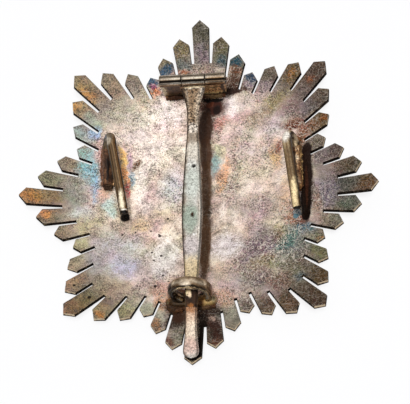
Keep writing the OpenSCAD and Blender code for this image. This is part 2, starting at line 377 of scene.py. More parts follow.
# The back's marks: x, y, two radii, turn in degrees, colour, strength. Six more still render, but with twelve
# more the finish has more values at once than a renderer keeps, and turns black.
rayTarnish = (
    (-28.5, 27.5, 6.5, 3.6, -45, (166, 142, 110), 0.9), (-28.2, 26.6, 3.6, 2, -45, (202, 148, 82), 0.8),
    (-30.5, 22.7, 4.2, 2.8, -30, (178, 158, 118), 0.85), (-31.4, 23.4, 2, 1.8, -30, (212, 156, 92), 0.8),
    (-26.5, 20, 3.4, 2.2, -35, (172, 186, 158), 0.8), (-29, 16.5, 4, 2.6, -30, (176, 188, 178), 0.9),
    (-28.6, 11.9, 3.4, 2.2, -15, (146, 180, 172), 0.9), (-33, 9.3, 4.5, 2.6, -15, (158, 150, 122), 0.85),
    (-37, 5.2, 4.5, 2.4, -8, (152, 146, 116), 0.9), (-41.2, 0.3, 4.6, 2.8, 0, (190, 132, 76), 0.9),
    (-35.5, 0.6, 4, 2.4, 0, (140, 122, 84), 0.8), (-37.6, -4.4, 4.2, 2.4, 10, (166, 134, 96), 0.85),
    (-37.4, -4, 1.9, 1.5, 10, (224, 160, 94), 0.85), (-33.2, -8.4, 4.2, 2.4, 12, (172, 148, 120), 0.8),
    (-29.2, -11.8, 3.6, 2, 20, (184, 176, 140), 0.8), (-29.8, -16.6, 3.8, 2.2, 25, (196, 176, 150), 0.8),
    (-30, -22, 4.2, 2.6, 32, (190, 160, 122), 0.8), (-28.8, -28, 6, 3.4, 42, (154, 124, 88), 0.9),
    (-22.6, -29.6, 3.4, 3, 60, (186, 166, 124), 0.85), (-23, -30.4, 1.9, 1.6, 0, (226, 154, 86), 0.85),
    (-17, -28.4, 3.4, 3.4, 60, (200, 184, 142), 0.7), (-12.3, -28.6, 2.6, 3.2, 65, (184, 186, 160), 0.8),
    (-9.2, -32.2, 2.4, 3.6, 0, (194, 188, 170), 0.9), (-9.6, -32.8, 1.7, 2.2, 0, (184, 130, 72), 0.8),
    (-5, -36.2, 2.6, 5, 0, (206, 192, 176), 0.95), (-5.9, -37.6, 1.7, 2.2, 0, (128, 80, 58), 0.85),
    (0, -41, 3.2, 4.4, 0, (116, 108, 88), 1), (5, -36.4, 2.8, 5.4, 0, (74, 46, 36), 1),
    (5.2, -38.6, 2.2, 1.6, 0, (128, 84, 62), 0.8), (9.4, -31.8, 2.8, 4.6, 20, (182, 168, 152), 0.95),
    (12.6, -28.4, 2.8, 3.4, 30, (112, 98, 86), 0.95), (17.4, -29.4, 3.2, 4.2, 35, (118, 92, 68), 0.95),
    (22.8, -29, 3.6, 4.6, 40, (128, 100, 72), 0.95), (29.4, -28.6, 6.5, 3.8, -42, (102, 80, 58), 1),
    (30, -22.4, 4.6, 3.2, -35, (116, 90, 56), 0.95), (29.4, -16.6, 4, 2.8, -28, (152, 148, 106), 0.95),
    (29.6, -11.6, 3.6, 2.4, -20, (148, 144, 120), 0.95), (30.1, -12.7, 1, 0.8, 0, (210, 130, 50), 0.8),
    (33.6, -8.4, 4.2, 2.6, -14, (160, 158, 134), 0.95), (37.6, -4.6, 4.8, 2.6, -8, (138, 142, 124), 0.95),
    (41, -0.2, 4.2, 2.8, 0, (138, 102, 60), 1), (36, 0.4, 4.6, 3.4, 0, (112, 112, 98), 0.85),
    (37.6, 4.6, 5, 2.6, 8, (120, 104, 80), 0.95), (33, 9, 4.6, 2.8, 15, (118, 100, 90), 0.95),
    (29, 11.8, 3.4, 2.6, 20, (124, 110, 86), 0.95), (30, 17.4, 4.4, 2.8, 25, (132, 100, 68), 0.95),
    (30.6, 17.6, 1.4, 1.2, 0, (190, 110, 48), 0.7), (30.2, 23.4, 4.8, 3, 32, (112, 94, 76), 0.95),
    (29.6, 29.4, 6.5, 4, 42, (104, 82, 66), 1), (27.2, 27.4, 1.8, 1.5, 0, (180, 108, 52), 0.6),
    (22.6, 29.2, 3.6, 4.2, -40, (132, 104, 64), 0.95), (22.2, 29.5, 1.5, 1.6, 0, (196, 122, 52), 0.55),
    (17, 29.6, 3.2, 3.6, -35, (114, 102, 84), 0.95), (15.8, 26.9, 2.4, 2.6, -35, (156, 138, 136), 0.8),
    (12.3, 29.4, 2.6, 2.6, -28, (54, 76, 98), 1), (11.5, 27.4, 1.6, 1.7, 0, (160, 138, 148), 0.8),
    (8.9, 34.6, 2.4, 2.6, -14, (128, 114, 80), 0.9), (8.9, 33.4, 2.8, 2, 10, (40, 80, 96), 1),
    (8.6, 31.3, 2.2, 1.7, 0, (132, 72, 46), 0.95), (8, 28.6, 2.8, 3.2, 0, (84, 56, 42), 1),
    (5, 37.6, 2.8, 4.4, -8, (112, 104, 72), 1), (5.4, 33.8, 2.5, 2.2, 0, (58, 84, 94), 0.95),
    (0, 41, 3, 4.4, 0, (86, 80, 62), 1), (0, 36.2, 3, 3.4, 0, (146, 130, 132), 0.85),
    (-4.9, 37.4, 2.6, 4.2, 8, (146, 126, 86), 1), (-4.6, 33.4, 2.4, 2.2, 0, (112, 118, 112), 0.9),
    (-4.8, 31.9, 2, 1, 0, (180, 110, 66), 0.75), (-9.2, 34.2, 2.2, 2, 10, (150, 140, 108), 0.9),
    (-9, 32.6, 3, 2.1, 15, (38, 84, 112), 1), (-12.4, 29.4, 2.2, 1.9, 20, (46, 74, 104), 1),
    (-12.1, 28.4, 1.5, 1, 0, (172, 84, 108), 0.7), (-11.7, 27.3, 1.7, 1.2, 0, (214, 116, 62), 0.85),
    (-17.2, 28.6, 3, 3.8, 30, (160, 142, 128), 0.8), (-22.6, 28.6, 3.2, 4.2, 35, (168, 146, 120), 0.8),
)
fieldTarnish = (
    (-20.5, 22, 7, 4.5, 0, (178, 168, 152), 0.7), (-16, 18.5, 5.5, 5, 30, (186, 178, 172), 0.55),
    (-9, 21.5, 6, 5, 0, (226, 210, 206), 0.8), (-12.5, 12, 6, 8, 0, (230, 214, 196), 0.8),
    (-26.2, 17.2, 2, 2.4, 20, (150, 190, 214), 0.85), (-27.4, 7.6, 4.2, 5, 5, (112, 174, 186), 0.9),
    (-25.6, 3, 2, 5.4, 0, (120, 170, 196), 0.85), (-30.5, 1.5, 4, 6, 0, (134, 140, 122), 0.8),
    (-28.8, -3.9, 4, 2.4, 10, (208, 212, 200), 0.75), (-26.8, -7, 4.4, 4, 0, (182, 178, 112), 0.65),
    (-22.4, -1, 2.2, 4.6, 10, (184, 202, 204), 0.8), (-23.6, 2, 2.4, 3.6, 0, (220, 160, 130), 0.75),
    (-24.7, 9.5, 1.6, 6.5, 0, (186, 140, 116), 0.7), (-22.8, 8, 2, 7, 2, (82, 52, 34), 0.85),
    (-19.5, 10.4, 1.1, 4.4, 8, (252, 196, 104), 0.95), (-19, 6.2, 0.95, 4, 8, (238, 146, 72), 0.9),
    (-18.3, 2.2, 0.9, 3, 6, (206, 44, 62), 0.95), (-18.1, 9.8, 0.8, 3, 6, (158, 104, 150), 0.7),
    (-17.5, 5.2, 0.9, 3, 4, (86, 132, 160), 0.8), (-15.4, 4, 2.4, 7, 0, (244, 234, 226), 0.5),
    (-23.6, -10, 4.5, 4.5, 0, (176, 164, 150), 0.6), (-19, -14, 9, 7, 0, (188, 178, 186), 0.75),
    (-18, -17.8, 5, 4, 0, (184, 178, 208), 0.7), (-24.5, -16, 4.5, 6, 0, (168, 158, 158), 0.6),
    (-20, -23.6, 8, 3.4, 0, (182, 168, 138), 0.7), (-13, -20, 3.4, 6, 0, (196, 180, 166), 0.6),
    (-14.4, -6.4, 4.2, 2.6, 30, (206, 172, 112), 0.6), (-10, -5, 5, 3.5, 0, (222, 192, 168), 0.6),
    (-8.5, -15, 4.5, 7.5, 0, (236, 226, 222), 0.8), (-9.2, -23.6, 3.6, 2.6, 0, (206, 146, 124), 0.7),
    (-8, -27, 2.8, 3.4, 0, (214, 150, 104), 0.8), (-7, 3, 4, 7, 0, (196, 196, 204), 0.6),
    (-9, 11, 4, 5, 0, (232, 214, 204), 0.5), (7.5, 22.6, 6, 3.2, 20, (228, 212, 208), 0.85),
    (4.4, 19.2, 3.2, 2.1, 40, (204, 128, 114), 0.85), (10, 20.4, 5, 1.9, 24, (202, 152, 148), 0.6),
    (13, 24.2, 5, 2.2, 10, (184, 164, 156), 0.6), (18.2, 22.8, 5.4, 2.6, 34, (146, 138, 74), 0.8),
    (22, 21, 4.6, 2.6, 22, (142, 106, 116), 0.8), (25.5, 24, 4, 3.4, 40, (140, 120, 112), 0.8),
    (26.5, 20.4, 3.4, 2.6, 25, (138, 122, 124), 0.8), (10.5, 13.5, 6.5, 7, 0, (196, 174, 164), 0.55),
    (17.5, 17, 4.5, 4, 0, (202, 186, 190), 0.6), (3.3, 9, 1.5, 4.6, 0, (118, 178, 176), 0.8),
    (4, 11.6, 2.2, 2.2, 0, (214, 206, 152), 0.7), (5, 5.8, 1.5, 5.4, -14, (230, 158, 100), 0.75),
    (16.5, 4, 7, 10, 0, (216, 194, 172), 0.5), (18.4, 9.5, 2.2, 5, -6, (222, 162, 100), 0.8),
    (19, 12, 1.1, 2.2, -32, (164, 76, 44), 0.85), (23.4, 17.4, 4.6, 2.2, 5, (138, 74, 46), 0.9),
    (22.6, 16.6, 2.8, 1.6, 10, (130, 68, 40), 1), (14, 19.4, 5, 3.6, 20, (160, 138, 108), 0.7),
    (24.6, 13.4, 2.1, 4.6, 0, (164, 108, 70), 0.9), (26.8, 15.4, 3.6, 2, 26, (158, 98, 62), 0.85),
    (21, 0, 1.6, 6, -6, (220, 176, 132), 0.6), (31, 0, 4.4, 6.5, 0, (150, 138, 152), 0.85),
    (28.6, -3.4, 1.5, 5, 0, (166, 112, 84), 0.65), (29.6, 7.4, 2.6, 3, 0, (136, 118, 116), 0.8),
    (24, -7.6, 4.2, 1.9, -8, (156, 78, 56), 0.9), (22.2, -5.8, 1.5, 3.2, 0, (184, 116, 86), 0.8),
    (14, -3, 8, 4, 0, (174, 150, 142), 0.65), (25.8, -9.8, 4.4, 1.9, -8, (74, 122, 140), 0.95),
    (21.4, -12.6, 5.4, 5, 0, (92, 138, 128), 0.95), (18.8, -10.4, 2.8, 3.2, 0, (176, 158, 100), 0.8),
    (15, -12, 6, 4.4, 20, (130, 110, 118), 0.88), (12, -15.8, 5, 3.8, 30, (140, 116, 118), 0.8),
    (16.6, -17.6, 5, 3, 0, (148, 134, 82), 0.8), (23.6, -18.6, 5, 4, 0, (118, 112, 78), 0.85),
    (25.6, -14.2, 3.6, 3, 0, (112, 128, 112), 0.8), (14, -22, 7, 4, 0, (142, 114, 110), 0.85),
    (20.2, -23.6, 5, 3, 0, (150, 104, 84), 0.75), (24.6, -22.2, 2.2, 1.6, 0, (98, 112, 126), 0.8),
    (6.2, -12.8, 5, 5, 0, (232, 220, 224), 0.85), (6, -20.6, 5, 4.6, 0, (200, 170, 164), 0.7),
    (6.4, -26.4, 4, 3, 0, (210, 164, 134), 0.75), (25, -26, 4, 3, -40, (120, 96, 78), 0.8),
)
# real tarnish stains, together with painted shadows and reflections: under and beside the hinge, along the right of
# the pin, beside the right hook and the pin's tongue, and round the catch
stainsAndShadows = (
    (-16.4, 8.5, 2.3, 0.9, 50, (104, 66, 40), 0.95), (2.2, 23.6, 4.4, 3.6, 0, (84, 48, 38), 0.95),
    (1.4, 19, 2.2, 5, -6, (82, 52, 40), 0.85), (2.2, 24.2, 1.5, 1.1, 0, (190, 92, 70), 0.8),
    (7.6, 26.7, 5.6, 1.7, 0, (72, 44, 34), 0.95), (-7, 26.6, 4, 1.6, -8, (84, 56, 42), 0.9),
    (-5, -31.4, 2.8, 3.6, 0, (62, 38, 26), 0.95), (2.8, -30.2, 5.6, 2, 0, (58, 36, 26), 0.95),
    (4.2, -33.6, 3, 2.4, 0, (78, 48, 38), 0.9), (3.4, -32.3, 1.9, 0.5, 0, (216, 186, 164), 0.9),
    (-6.4, -28.4, 2.4, 2, 0, (92, 58, 36), 0.8), (26.2, 2, 2.2, 9.4, 0, (74, 48, 36), 0.8),
    (23.6, -5.4, 1.4, 1.6, 0, (70, 104, 124), 0.8), (-6, -25, 1.6, 2.2, 0, (120, 82, 56), 0.6),
    (-4.8, -25.6, 2.8, 1.8, 0, (80, 48, 28), 0.95), (1.9, -35, 1.2, 7.5, 0, (30, 19, 14), 0.95),
    (1.2, 6, 1.6, 16, 0, (84, 60, 44), 0.8), (1.3, -11, 1.8, 15, 0, (84, 60, 42), 0.85),
)
# painted shadows and dark reflections that the fittings throw on the plate, with sharp rims
castMarks = (
    (26.05, 9.2, 1.45, 3.6, -4, (34, 20, 14), 1), (26.1, 3.6, 1.65, 6.4, 0, (36, 22, 15), 1),
    (25.95, -2.4, 1.6, 5.6, 0, (30, 18, 12), 1), (26, -5.6, 1.3, 2.8, 0, (24, 15, 10), 1),
    (26.1, 1, 0.4, 6, 2, (84, 46, 30), 0.45), (-18.6, -4.3, 1.35, 1.6, 0, (18, 13, 10), 1),
    (-4, -30.6, 2.2, 2.6, 10, (66, 40, 28), 0.85), (-4.7, -24.9, 2.8, 1.7, 0, (72, 46, 30), 1),
    (23.5, -6.3, 0.9, 0.8, 0, (84, 122, 134), 0.9), (1.9, -25.6, 1.9, 1.3, 0, (22, 14, 10), 1),
    (2.9, 23, 2.5, 2.4, -14, (62, 30, 21), 0.95), (3.6, 22.2, 1, 1.4, -20, (24, 13, 9), 0.9),
    (1.6, 21.6, 0.7, 1.2, 0, (20, 11, 8), 0.9), (1.9, 23.6, 1.1, 0.7, 20, (112, 62, 40), 0.5),
    (2.8, 24.7, 3, 0.6, 0, (16, 9, 6), 1), (0.7, 18, 2, 5.4, -4, (58, 36, 24), 0.95),
    (0.8, 11.5, 1.8, 5, 0, (76, 50, 34), 0.9), (1.1, 3, 1.5, 8, 0, (96, 68, 46), 0.8),
    (1.2, -12, 1.5, 9, 0, (122, 88, 60), 0.75), (6.8, 26.6, 3.2, 0.9, 0, (44, 25, 18), 0.8),
    (0.2, -41.7, 2.2, 1.4, 0, (14, 10, 7), 1), (1.9, -37.5, 0.9, 6, 0, (20, 13, 9), 0.95),
    (-1.9, -37, 0.5, 6, 0, (20, 13, 9), 0.9),
)
# x, y and radius
pits = (
    (-19, -9, 0.32), (-15.9, -8.4, 0.24), (-12.2, -8.1, 0.26), (-8.2, -4.9, 0.34), (-10, -9.4, 0.42),
    (-11.7, -13.7, 0.28), (-9.4, -14.6, 0.36), (-11.1, -15.8, 0.26), (-8.7, -19.8, 0.3), (-10.4, -22.7, 0.42),
    (-9.9, -12.5, 0.18), (-7.5, -9.2, 0.18), (-18.3, -11, 0.18), (-7.3, -21.5, 0.2), (-29.6, -22.7, 0.36),
    (-25.8, -25.8, 0.5), (-8.1, 4.3, 0.22), (-13.9, -19.4, 0.2), (-10.2, -9, 0.26),
)
# where the back is rubbed smooth: x, y, two radii, turn, how much
polished = (
    (-8, -15, 6, 9, 0, 0.9), (-9.5, 20.5, 7, 6, 0, 0.7), (7, 22.5, 5.5, 3.5, 15, 0.8), (6.2, -12.8, 5, 5.5, 0, 0.7),
    (-15, 4, 3, 8, 0, 0.6), (-9.5, 9, 6, 9, 0, 0.55), (17.5, 17, 4, 4, 0, 0.5),
)

tarnish = {
    # the noises of the back: scale, detail, roughness
    "broad": (170, 4, 0.6), "patches": (330, 3, 0.6), "mottle": (560, 4, 0.65), "fine": (2500, 2, 0.6),
    "tiny": (4000, 1, 0.5), "hues": (1250, 3, 0.7), "film": (150, 3, 0.6), "web": (950, 1, 0.5),
    # where the rays begin, metres from the middle, and how fast their finish takes over
    "raysFrom": 0.0275, "raysOver": 150,
    # scale and reach, in metres, of the pushes that fray the marks
    "drift": ((240, 0.0034), (1000, 0.0014)),
    "silver": ((0.34, (180, 157, 141)), (0.5, (214, 193, 177)), (0.64, (238, 222, 208))),
    "rayColour": (140, 126, 108), "grit": (58, 39, 30), "threads": (252, 238, 222), "scratchColour": (246, 238, 230),
    "pitColour": (34, 24, 20), "levels": (0.25, 1.45), "warmth": (0.985, 0.97),
    # turn, shift and narrowness of each family of hair scratches, and how long they run
    "scratches": ((0.5, 0.1, 5200), (-0.9, 0.4, 4600), (1.9, 0.7, 5600)), "scratchRun": 120,
    "brushing": (0.75, (240, 1500)),
}


def plateBackMaterial():
    material, flow, shader = newMaterial("tarnishedBack", {"Specular IOR Level": 0.4})
    place = objectPlace(flow)
    moved = place
    for scale, reach in tarnish["drift"]:
        moved = stray(flow, moved, scale, reach)
    far = fromMiddle(flow, moved)
    broad = grain(flow, place, *tarnish["broad"])
    mottle = grain(flow, moved, *tarnish["mottle"])
    patches = grain(flow, place, *tarnish["patches"])
    fine = grain(flow, place, *tarnish["fine"])
    tiny = grain(flow, place, *tarnish["tiny"])
    hues = grain(flow, place, *tarnish["hues"], out=1)
    smooth = highest(flow, ((spot(flow, moved, *row[:5]) * 1.8).clip() * row[5] for row in polished))
    colour = flow.ramp(broad, tarnish["silver"])
    rayShare = (far - tarnish["raysFrom"]) * tarnish["raysOver"]
    rays = rayShare.clip()
    ragged = swing(mottle, 3.4) + swing(fine, 4.0) + swing(tiny, 2.4)
    colour = colour.blend(tone(*tarnish["rayColour"]), (rayShare + ragged * 0.25).clip(0.8))
    for marks, gain, strong in ((rayTarnish, 1.5, 1), (fieldTarnish, 1.6, 0.85), (stainsAndShadows, 2.3, 1)):
        colour = paint(flow, colour, moved, gain + ragged, marks, strong)
    # the darker a place is tarnished, the coarser its grain; where nothing is left to see it fades again
    bright = flow.node("ShaderNodeRGBToBW", None, {0: colour})
    depth = 1 - (bright - 0.16) * 2.3
    left = (place.part(0) * -70 - 0.2).clip()
    calm = left * flow.math("MAXIMUM", (place.part(1) * -45 + 0.6).clip(), rays)
    coarse = (depth + swing(patches, 1.5) - swing(broad, 3.0) + 0.06).clip()
    coarse = coarse * (1 - smooth * 0.7) * (bright * 14 - 0.4).clip() * (1 - calm * 0.7)
    speckle = 0.42 + coarse * 1.35 - rays * (1 - left) * 0.36
    shaded = 1 - depth.clip() * (1 - rays) * (place.part(0) * 22 + 0.45).clip() * 0.34
    # the rays are darker, most on the right
    dull = (1 - rays * (0.36 + place.part(0) * 4.0 + (place.part(1) * 14 - 0.35).clip(0.2))) * shaded
    # hues strayed by the tarnish film, then grain that darkens and lightens it
    colour = colour.blend(hues, 0.20 * speckle, "OVERLAY")
    colour = colour.blend(grain(flow, moved, *tarnish["film"], out=1), 0.26, "OVERLAY")
    brushed = strokes(flow, stray(flow, place, 70, 0.016), *tarnish["brushing"], 3, 0.6)
    shade = swing(mottle, 1.8) + swing(brushed, 1.3) + swing(patches, 1.2)
    shade = shade + (swing(fine, 3.2) + swing(tiny, 4.6)) * speckle
    darkest, lightest = tarnish["levels"]
    level = flow.math("MAXIMUM", flow.math("MINIMUM", 1 + shade, lightest), darkest) * dull
    green, blue = tarnish["warmth"]
    colour = flow.vector("MULTIPLY", colour, flow.combine(level, level * green, level * blue))
    colour = colour.blend(tone(*tarnish["grit"]), ((0.42 - fine) * 11).clip() * coarse * (0.72 - rays * 0.4))
    threads = flow.math("ABSOLUTE", grain(flow, place, *tarnish["web"]) - 0.5)
    threads = ((0.038 - threads) * 36).clip() * coarse + ((tiny - 0.60) * 11).clip() * 0.6
    colour = colour.blend(tone(*tarnish["threads"]), (threads * (1 - rays * 0.7)).clip(0.6))
    scratch = highest(flow, (
        ((strokes(flow, place, turn, (tarnish["scratchRun"], narrow), 1, 0.5, shift) - 0.73) * 16).clip()
        for turn, shift, narrow in tarnish["scratches"]))
    colour = colour.blend(tone(*tarnish["scratchColour"]), scratch * 0.4)
    # the painted shadows and reflections of the fittings go on over the scratches
    colour = paint(flow, colour, stray(flow, place, 700, 0.0008), 4.0 + swing(mottle, 4.0), castMarks)
    pit = highest(flow, (spot(flow, place, x, y, r * 1.15, r * 0.95, 20) for x, y, r in pits))
    pit = (pit * 3.0 + swing(tiny, 2.0) * pit.clip(8.0)).clip()
    colour = colour.blend(tone(*tarnish["pitColour"]), pit * 0.95)
    rough = 0.30 + swing(fine, 0.4) - smooth * 0.05 + (shade * -0.16).clip() + rays * 0.06
    bump = flow.bump(fine * 0.55 + mottle * 0.35 + tiny * 0.20 - pit * 0.8 - scratch * 0.1, 0.5)
    rough, metal = rough.clip(), (0.62 - (shade * -0.3).clip()).clip()
    feed(flow, shader, Base_Color=colour, Roughness=rough, Metallic=metal, Normal=bump)
    return material


def plateEdgeMaterial():
    material, flow, shader = newMaterial("cutEdges", {"Specular IOR Level": 0.02, "Metallic": 0.0})
    edgeNoise = grain(flow, objectPlace(flow), 600, 4, 0.75)
    colour = flow.ramp(edgeNoise, ((0.40, (12, 9, 7)), (0.58, (38, 30, 23)), (0.72, (128, 110, 84))))
    bump = flow.bump(edgeNoise, 0.4)
    feed(flow, shader, Base_Color=colour, Roughness=edgeNoise.clip(0.4, 0.5), Normal=bump)
    return material


def plateTipMaterial():
    # painted light on the end walls of the rays, just under the back's rim, dark where the wall meets the front
    material, flow, shader = newMaterial("wornTips", {"Specular IOR Level": 0.1, "Metallic": 0.0})
    place = objectPlace(flow)
    edgeNoise = grain(flow, place, 900, 3, 0.7)
    far = fromMiddle(flow, place)
    depth = far * far / (2 * vaultRadius * mm) + plate["backHeight"] * mm - place.part(2)
    depth = depth / (plate["thickness"] * mm) + swing(edgeNoise, 1.4)
    colour = flow.ramp(depth, ((0.20, (204, 184, 154)), (0.46, (128, 106, 82)), (0.60, (22, 16, 12))))
    feed(flow, shader, Base_Color=colour, Roughness=edgeNoise.clip(0.4, 0.5))
    return material


def frontMaterial():
    material, flow, shader = newMaterial("brightFront", {"Specular IOR Level": 0.5})
    place = objectPlace(flow)
    moved = stray(flow, place, 300, 0.003)
    broad = grain(flow, moved, 120, 4, 0.62)
    fine = grain(flow, place, 1700, 4, 0.7)
    far = fromMiddle(flow, place)
    colour = flow.ramp(broad, ((0.3, (150, 140, 126)), (0.5, (206, 200, 190)), (0.7, (232, 228, 220))))
    colour = colour.blend(tone(140, 116, 82), ((far - 0.026) * 90 + (broad - 0.5)).clip() * 0.5)
    colour = colour.blend(tone(78, 66, 54), ((0.42 - fine) * 7).clip() * 0.5)
    bump = flow.bump(fine, 0.25)
    feed(flow, shader, Base_Color=colour, Roughness=fine.clip(0.35, 0.14), Metallic=fine.clip(0.3, 0.75), Normal=bump)
    return material


plateBack, plateEdge = plateBackMaterial(), plateEdgeMaterial()
plateTip, plateFront = plateTipMaterial(), frontMaterial()


rayNames = ("bearing", "lean", "reach", "half", "point", "rootLeft", "rootRight")


def rayPoints():
    # one vertex for each ray; what tells the rays apart is stored on it
    per, size = plate["raysPerPoint"], plate["radius"] * mm
    count = plate["points"] * per
    mesh = bpy.data.meshes.new("rays")
    mesh.from_pydata([(0, 0, 0)] * count, [], [])
    rows = {name: [] for name in rayNames}
    for k in range(count):
        m, left = k % per, (k - 1) % per
        reach, width, point = plate["rays"][min(m, per - m)]
        rows["bearing"].append(math.radians(k * 360 / count))
        rows["lean"].append(math.radians(plate["lean"][k // per]) if m == 0 else 0.0)
        rows["reach"].append(reach * size)
        rows["half"].append(width * size / 2)
        rows["point"].append(point * size)
        rows["rootRight"].append(plate["slitRoots"][min(m, per - 1 - m)] * size)
        rows["rootLeft"].append(plate["slitRoots"][min(left, per - 1 - left)] * size)
    for name, values in rows.items():
        mesh.attributes.new(name, "FLOAT", "POINT").data.foreach_set("value", values)
    return mesh


def newTree(name, lengths, counts):
    # a tree with a mesh in and out and named numbers; returns it, its inputs and where each number goes
    tree = bpy.data.node_groups.new(name, "GeometryNodeTree")
    tree.interface.new_socket("Geometry", in_out="INPUT", socket_type="NodeSocketGeometry")
    tree.interface.new_socket("Geometry", in_out="OUTPUT", socket_type="NodeSocketGeometry")
    found = {}
    for labels, kind in ((lengths, "NodeSocketFloat"), (counts, "NodeSocketInt")):
        for label in labels:
            found[label] = tree.interface.new_socket(label, in_out="INPUT", socket_type=kind).identifier
    flow = Flow(tree)
    return flow, flow.node("NodeGroupInput").output, found


def moveBy(flow, mesh, offset):
    return flow.node("GeometryNodeSetPosition", None, {"Geometry": mesh, "Offset": offset})


def growFrom(name, mesh, tree, found, values):
    # runs the tree on the mesh and keeps the result as a plain piece
    piece = bpy.data.objects.new(name, mesh)
    bpy.context.scene.collection.objects.link(piece)
    grow = piece.modifiers.new(name, "NODES")
    grow.node_group = tree
    for label, value in values.items():
        grow[found[label]] = value
    return evaluated(piece, name)


def starTree():
    lengths = ("Vault radius", "Thickness", "Back height", "Kerf", "Half pitch", "Unevenness")
    flow, wire, found = newTree("starPlateTree", lengths, ("Columns", "Rows inside", "Rows outside"))
    kept = lambda label: flow.node("GeometryNodeInputNamedAttribute", {"data_type": "FLOAT"}, {"Name": label})
    inside, outside = wire("Rows inside"), wire("Rows outside")
    sizes = {"Size X": 2.0, "Size Y": 1.0, "Vertices X": wire("Columns"), "Vertices Y": inside + outside + 1}
    sheet = flow.node("GeometryNodeMeshGrid", None, sizes)
    copies = flow.node("GeometryNodeInstanceOnPoints", None, {"Points": wire("Geometry"), "Instance": sheet})
    origin = flow.node("GeometryNodeInputPosition")
    sheets = flow.node("GeometryNodeRealizeInstances", None, {"Geometry": copies})
    across, row = origin.part(0), (origin.part(1) + 0.5) * (inside + outside)
    share = (across + 1) / 2
    edge = across.math("GREATER_THAN", across.math("ABSOLUTE", across), 0.999)
    sine, cosine = across.math("SINE", wire("Half pitch")), across.math("COSINE", wire("Half pitch"))
    left, right = kept("rootLeft"), kept("rootRight")
    half = wire("Kerf") / 2
    # the line through the two slit roots, then the same line drawn in by half a saw cut
    rootX = between(left * sine * -1, right * sine, share)
    rootY = between(left * cosine, right * cosine, share)
    cutX = between(half * cosine - left * sine, right * sine - half * cosine, share)
    cutY = between(left * cosine, right * cosine, share) + half * sine
    inward = row.math("MINIMUM", row / inside, 1.0)
    innerX, innerY = rootX * inward, (rootY - (1 - edge) * inward ** 9 * (plate["sag"] * mm)) * inward
    # the pointed end, turned by the lean of a hand-filed main ray
    endX, endY = across * kept("half"), kept("reach") - across.math("ABSOLUTE", across) * kept("point")
    leanSine, leanCosine = row.math("SINE", kept("lean")), row.math("COSINE", kept("lean"))
    tipX, tipY = endX * leanCosine + endY * leanSine, endY * leanCosine - endX * leanSine
    outward = row.math("MULTIPLY_ADD", row - inside - 1, 1 / (outside - 1), 0.0, clamp=True)
    outer = row.math("GREATER_THAN", row, inside + 0.5)
    x = between(innerX, between(cutX, tipX, outward), outer)
    y = between(innerY, between(cutY, tipY, outward), outer)
    bearing = kept("bearing")
    turnSine, turnCosine = row.math("SINE", bearing), row.math("COSINE", bearing)
    flatX, flatY = y * turnSine + x * turnCosine, y * turnCosine - x * turnSine
    vault, thick, low = wire("Vault radius"), wire("Thickness"), wire("Back height")

    def rise(radius, px, py):
        return low + vault - row.math("SQRT", radius * radius - px * px - py * py)

    def welded(mesh):
        return flow.node("GeometryNodeMergeByDistance", None, {"Geometry": mesh, "Distance": plate["weld"] * mm})

    placed = flow.combine(flatX, flatY, rise(vault + thick, flatX, flatY))
    front = welded(flow.node("GeometryNodeSetPosition", None, {"Geometry": sheets, "Position": placed}))
    px, py = origin.part(0), origin.part(1)
    step = flow.combine(z=rise(vault, px, py) - rise(vault + thick, px, py))
    values = {"Mesh": front, "Offset": step, "Offset Scale": 1.0, "Individual": False}
    raised = flow.node("GeometryNodeExtrudeMesh", None, values)
    flag = {"data_type": "BOOLEAN", "domain": "FACE"}
    values = {"Geometry": raised, "Name": "wall", "Value": raised.output("Side")}
    body = flow.node("GeometryNodeStoreNamedAttribute", flag, values)
    face = flow.node("GeometryNodeFlipFaces", None, {"Mesh": front})
    values = {"Geometry": face, "Name": "front", "Value": True}
    face = flow.node("GeometryNodeStoreNamedAttribute", flag, values)
    whole = welded(flow.join(face, body))
    wave = swing(grain(flow, origin, plate["waves"], 2, 0.5), wire("Unevenness"))
    whole = moveBy(flow, whole, flow.combine(z=wave))
    whole = flow.node("GeometryNodeRealizeInstances", None, {"Geometry": whole})
    whole = flow.node("GeometryNodeSetMaterial", None, {"Geometry": whole, "Material": plateBack})
    for label, material in (("wall", plateEdge), ("front", plateFront)):
        which = flow.node("GeometryNodeInputNamedAttribute", {"data_type": "BOOLEAN"}, {"Name": label})
        values = {"Geometry": whole, "Selection": which, "Material": material}
        whole = flow.node("GeometryNodeSetMaterial", None, values)
    flow.tree.links.new(whole.socket, flow.tree.nodes.new("NodeGroupOutput").inputs[0])
    return flow.tree, found


def flared(piece, width):
    # the saw leaned a little: the outline on the back is drawn in, and the cut walls show from above
    back, wall = (piece.data.materials.find(m.name) for m in (plateBack, plateEdge))
    lean, (least, most), (base, slope) = Vector(plate["sawLean"]), plate["flareShare"], plate["flareMix"]
    bm = bmesh.new()
    bm.from_mesh(piece.data)
    moves = {}
    for edge in bm.edges:
        sides = {face.material_index: face for face in edge.link_faces}
        if back in sides and wall in sides:
            side = (sides[wall].normal * Vector((1, 1, 0))).normalized()
            for corner in edge.verts:
                moves.setdefault(corner, []).append(side)
    for corner, sides in moves.items():
        turn = max(1 + sides[0].dot(sides[-1]), 0.35) if len(sides) > 1 else 1
        x, y = (c / mm for c in corner.co.xy)
        leaned = [side * min(max(base + slope * side.xy.dot(lean), least), most) for side in sides]
        corner.co -= (sum(leaned[1:], leaned[0]) if len(sides) < 3 else leaned[0]) / turn * width * mm
        corner.co.z += (backAt(*(c / mm for c in corner.co.xy)) - backAt(x, y)) * mm
    # the end walls of the lower and right rays, which face down, get the painted light; the ends of the slits do not
    piece.data.materials.append(plateTip)
    bm.normal_update()
    nearest, farthest = plate["tipFacing"]
    for face in bm.faces:
        if face.material_index == wall:
            facing, middle = face.normal.xy.normalized(), face.calc_center_median().xy
            lowOrRight = middle.y < plate["tipBelow"] * mm or middle.x > plate["tipRightOf"] * mm
            if nearest < facing.dot(middle.normalized()) < farthest and facing.y < plate["tipDown"] and lowOrRight:
                face.material_index = len(piece.data.materials) - 1
    bm.to_mesh(piece.data)
    bm.free()


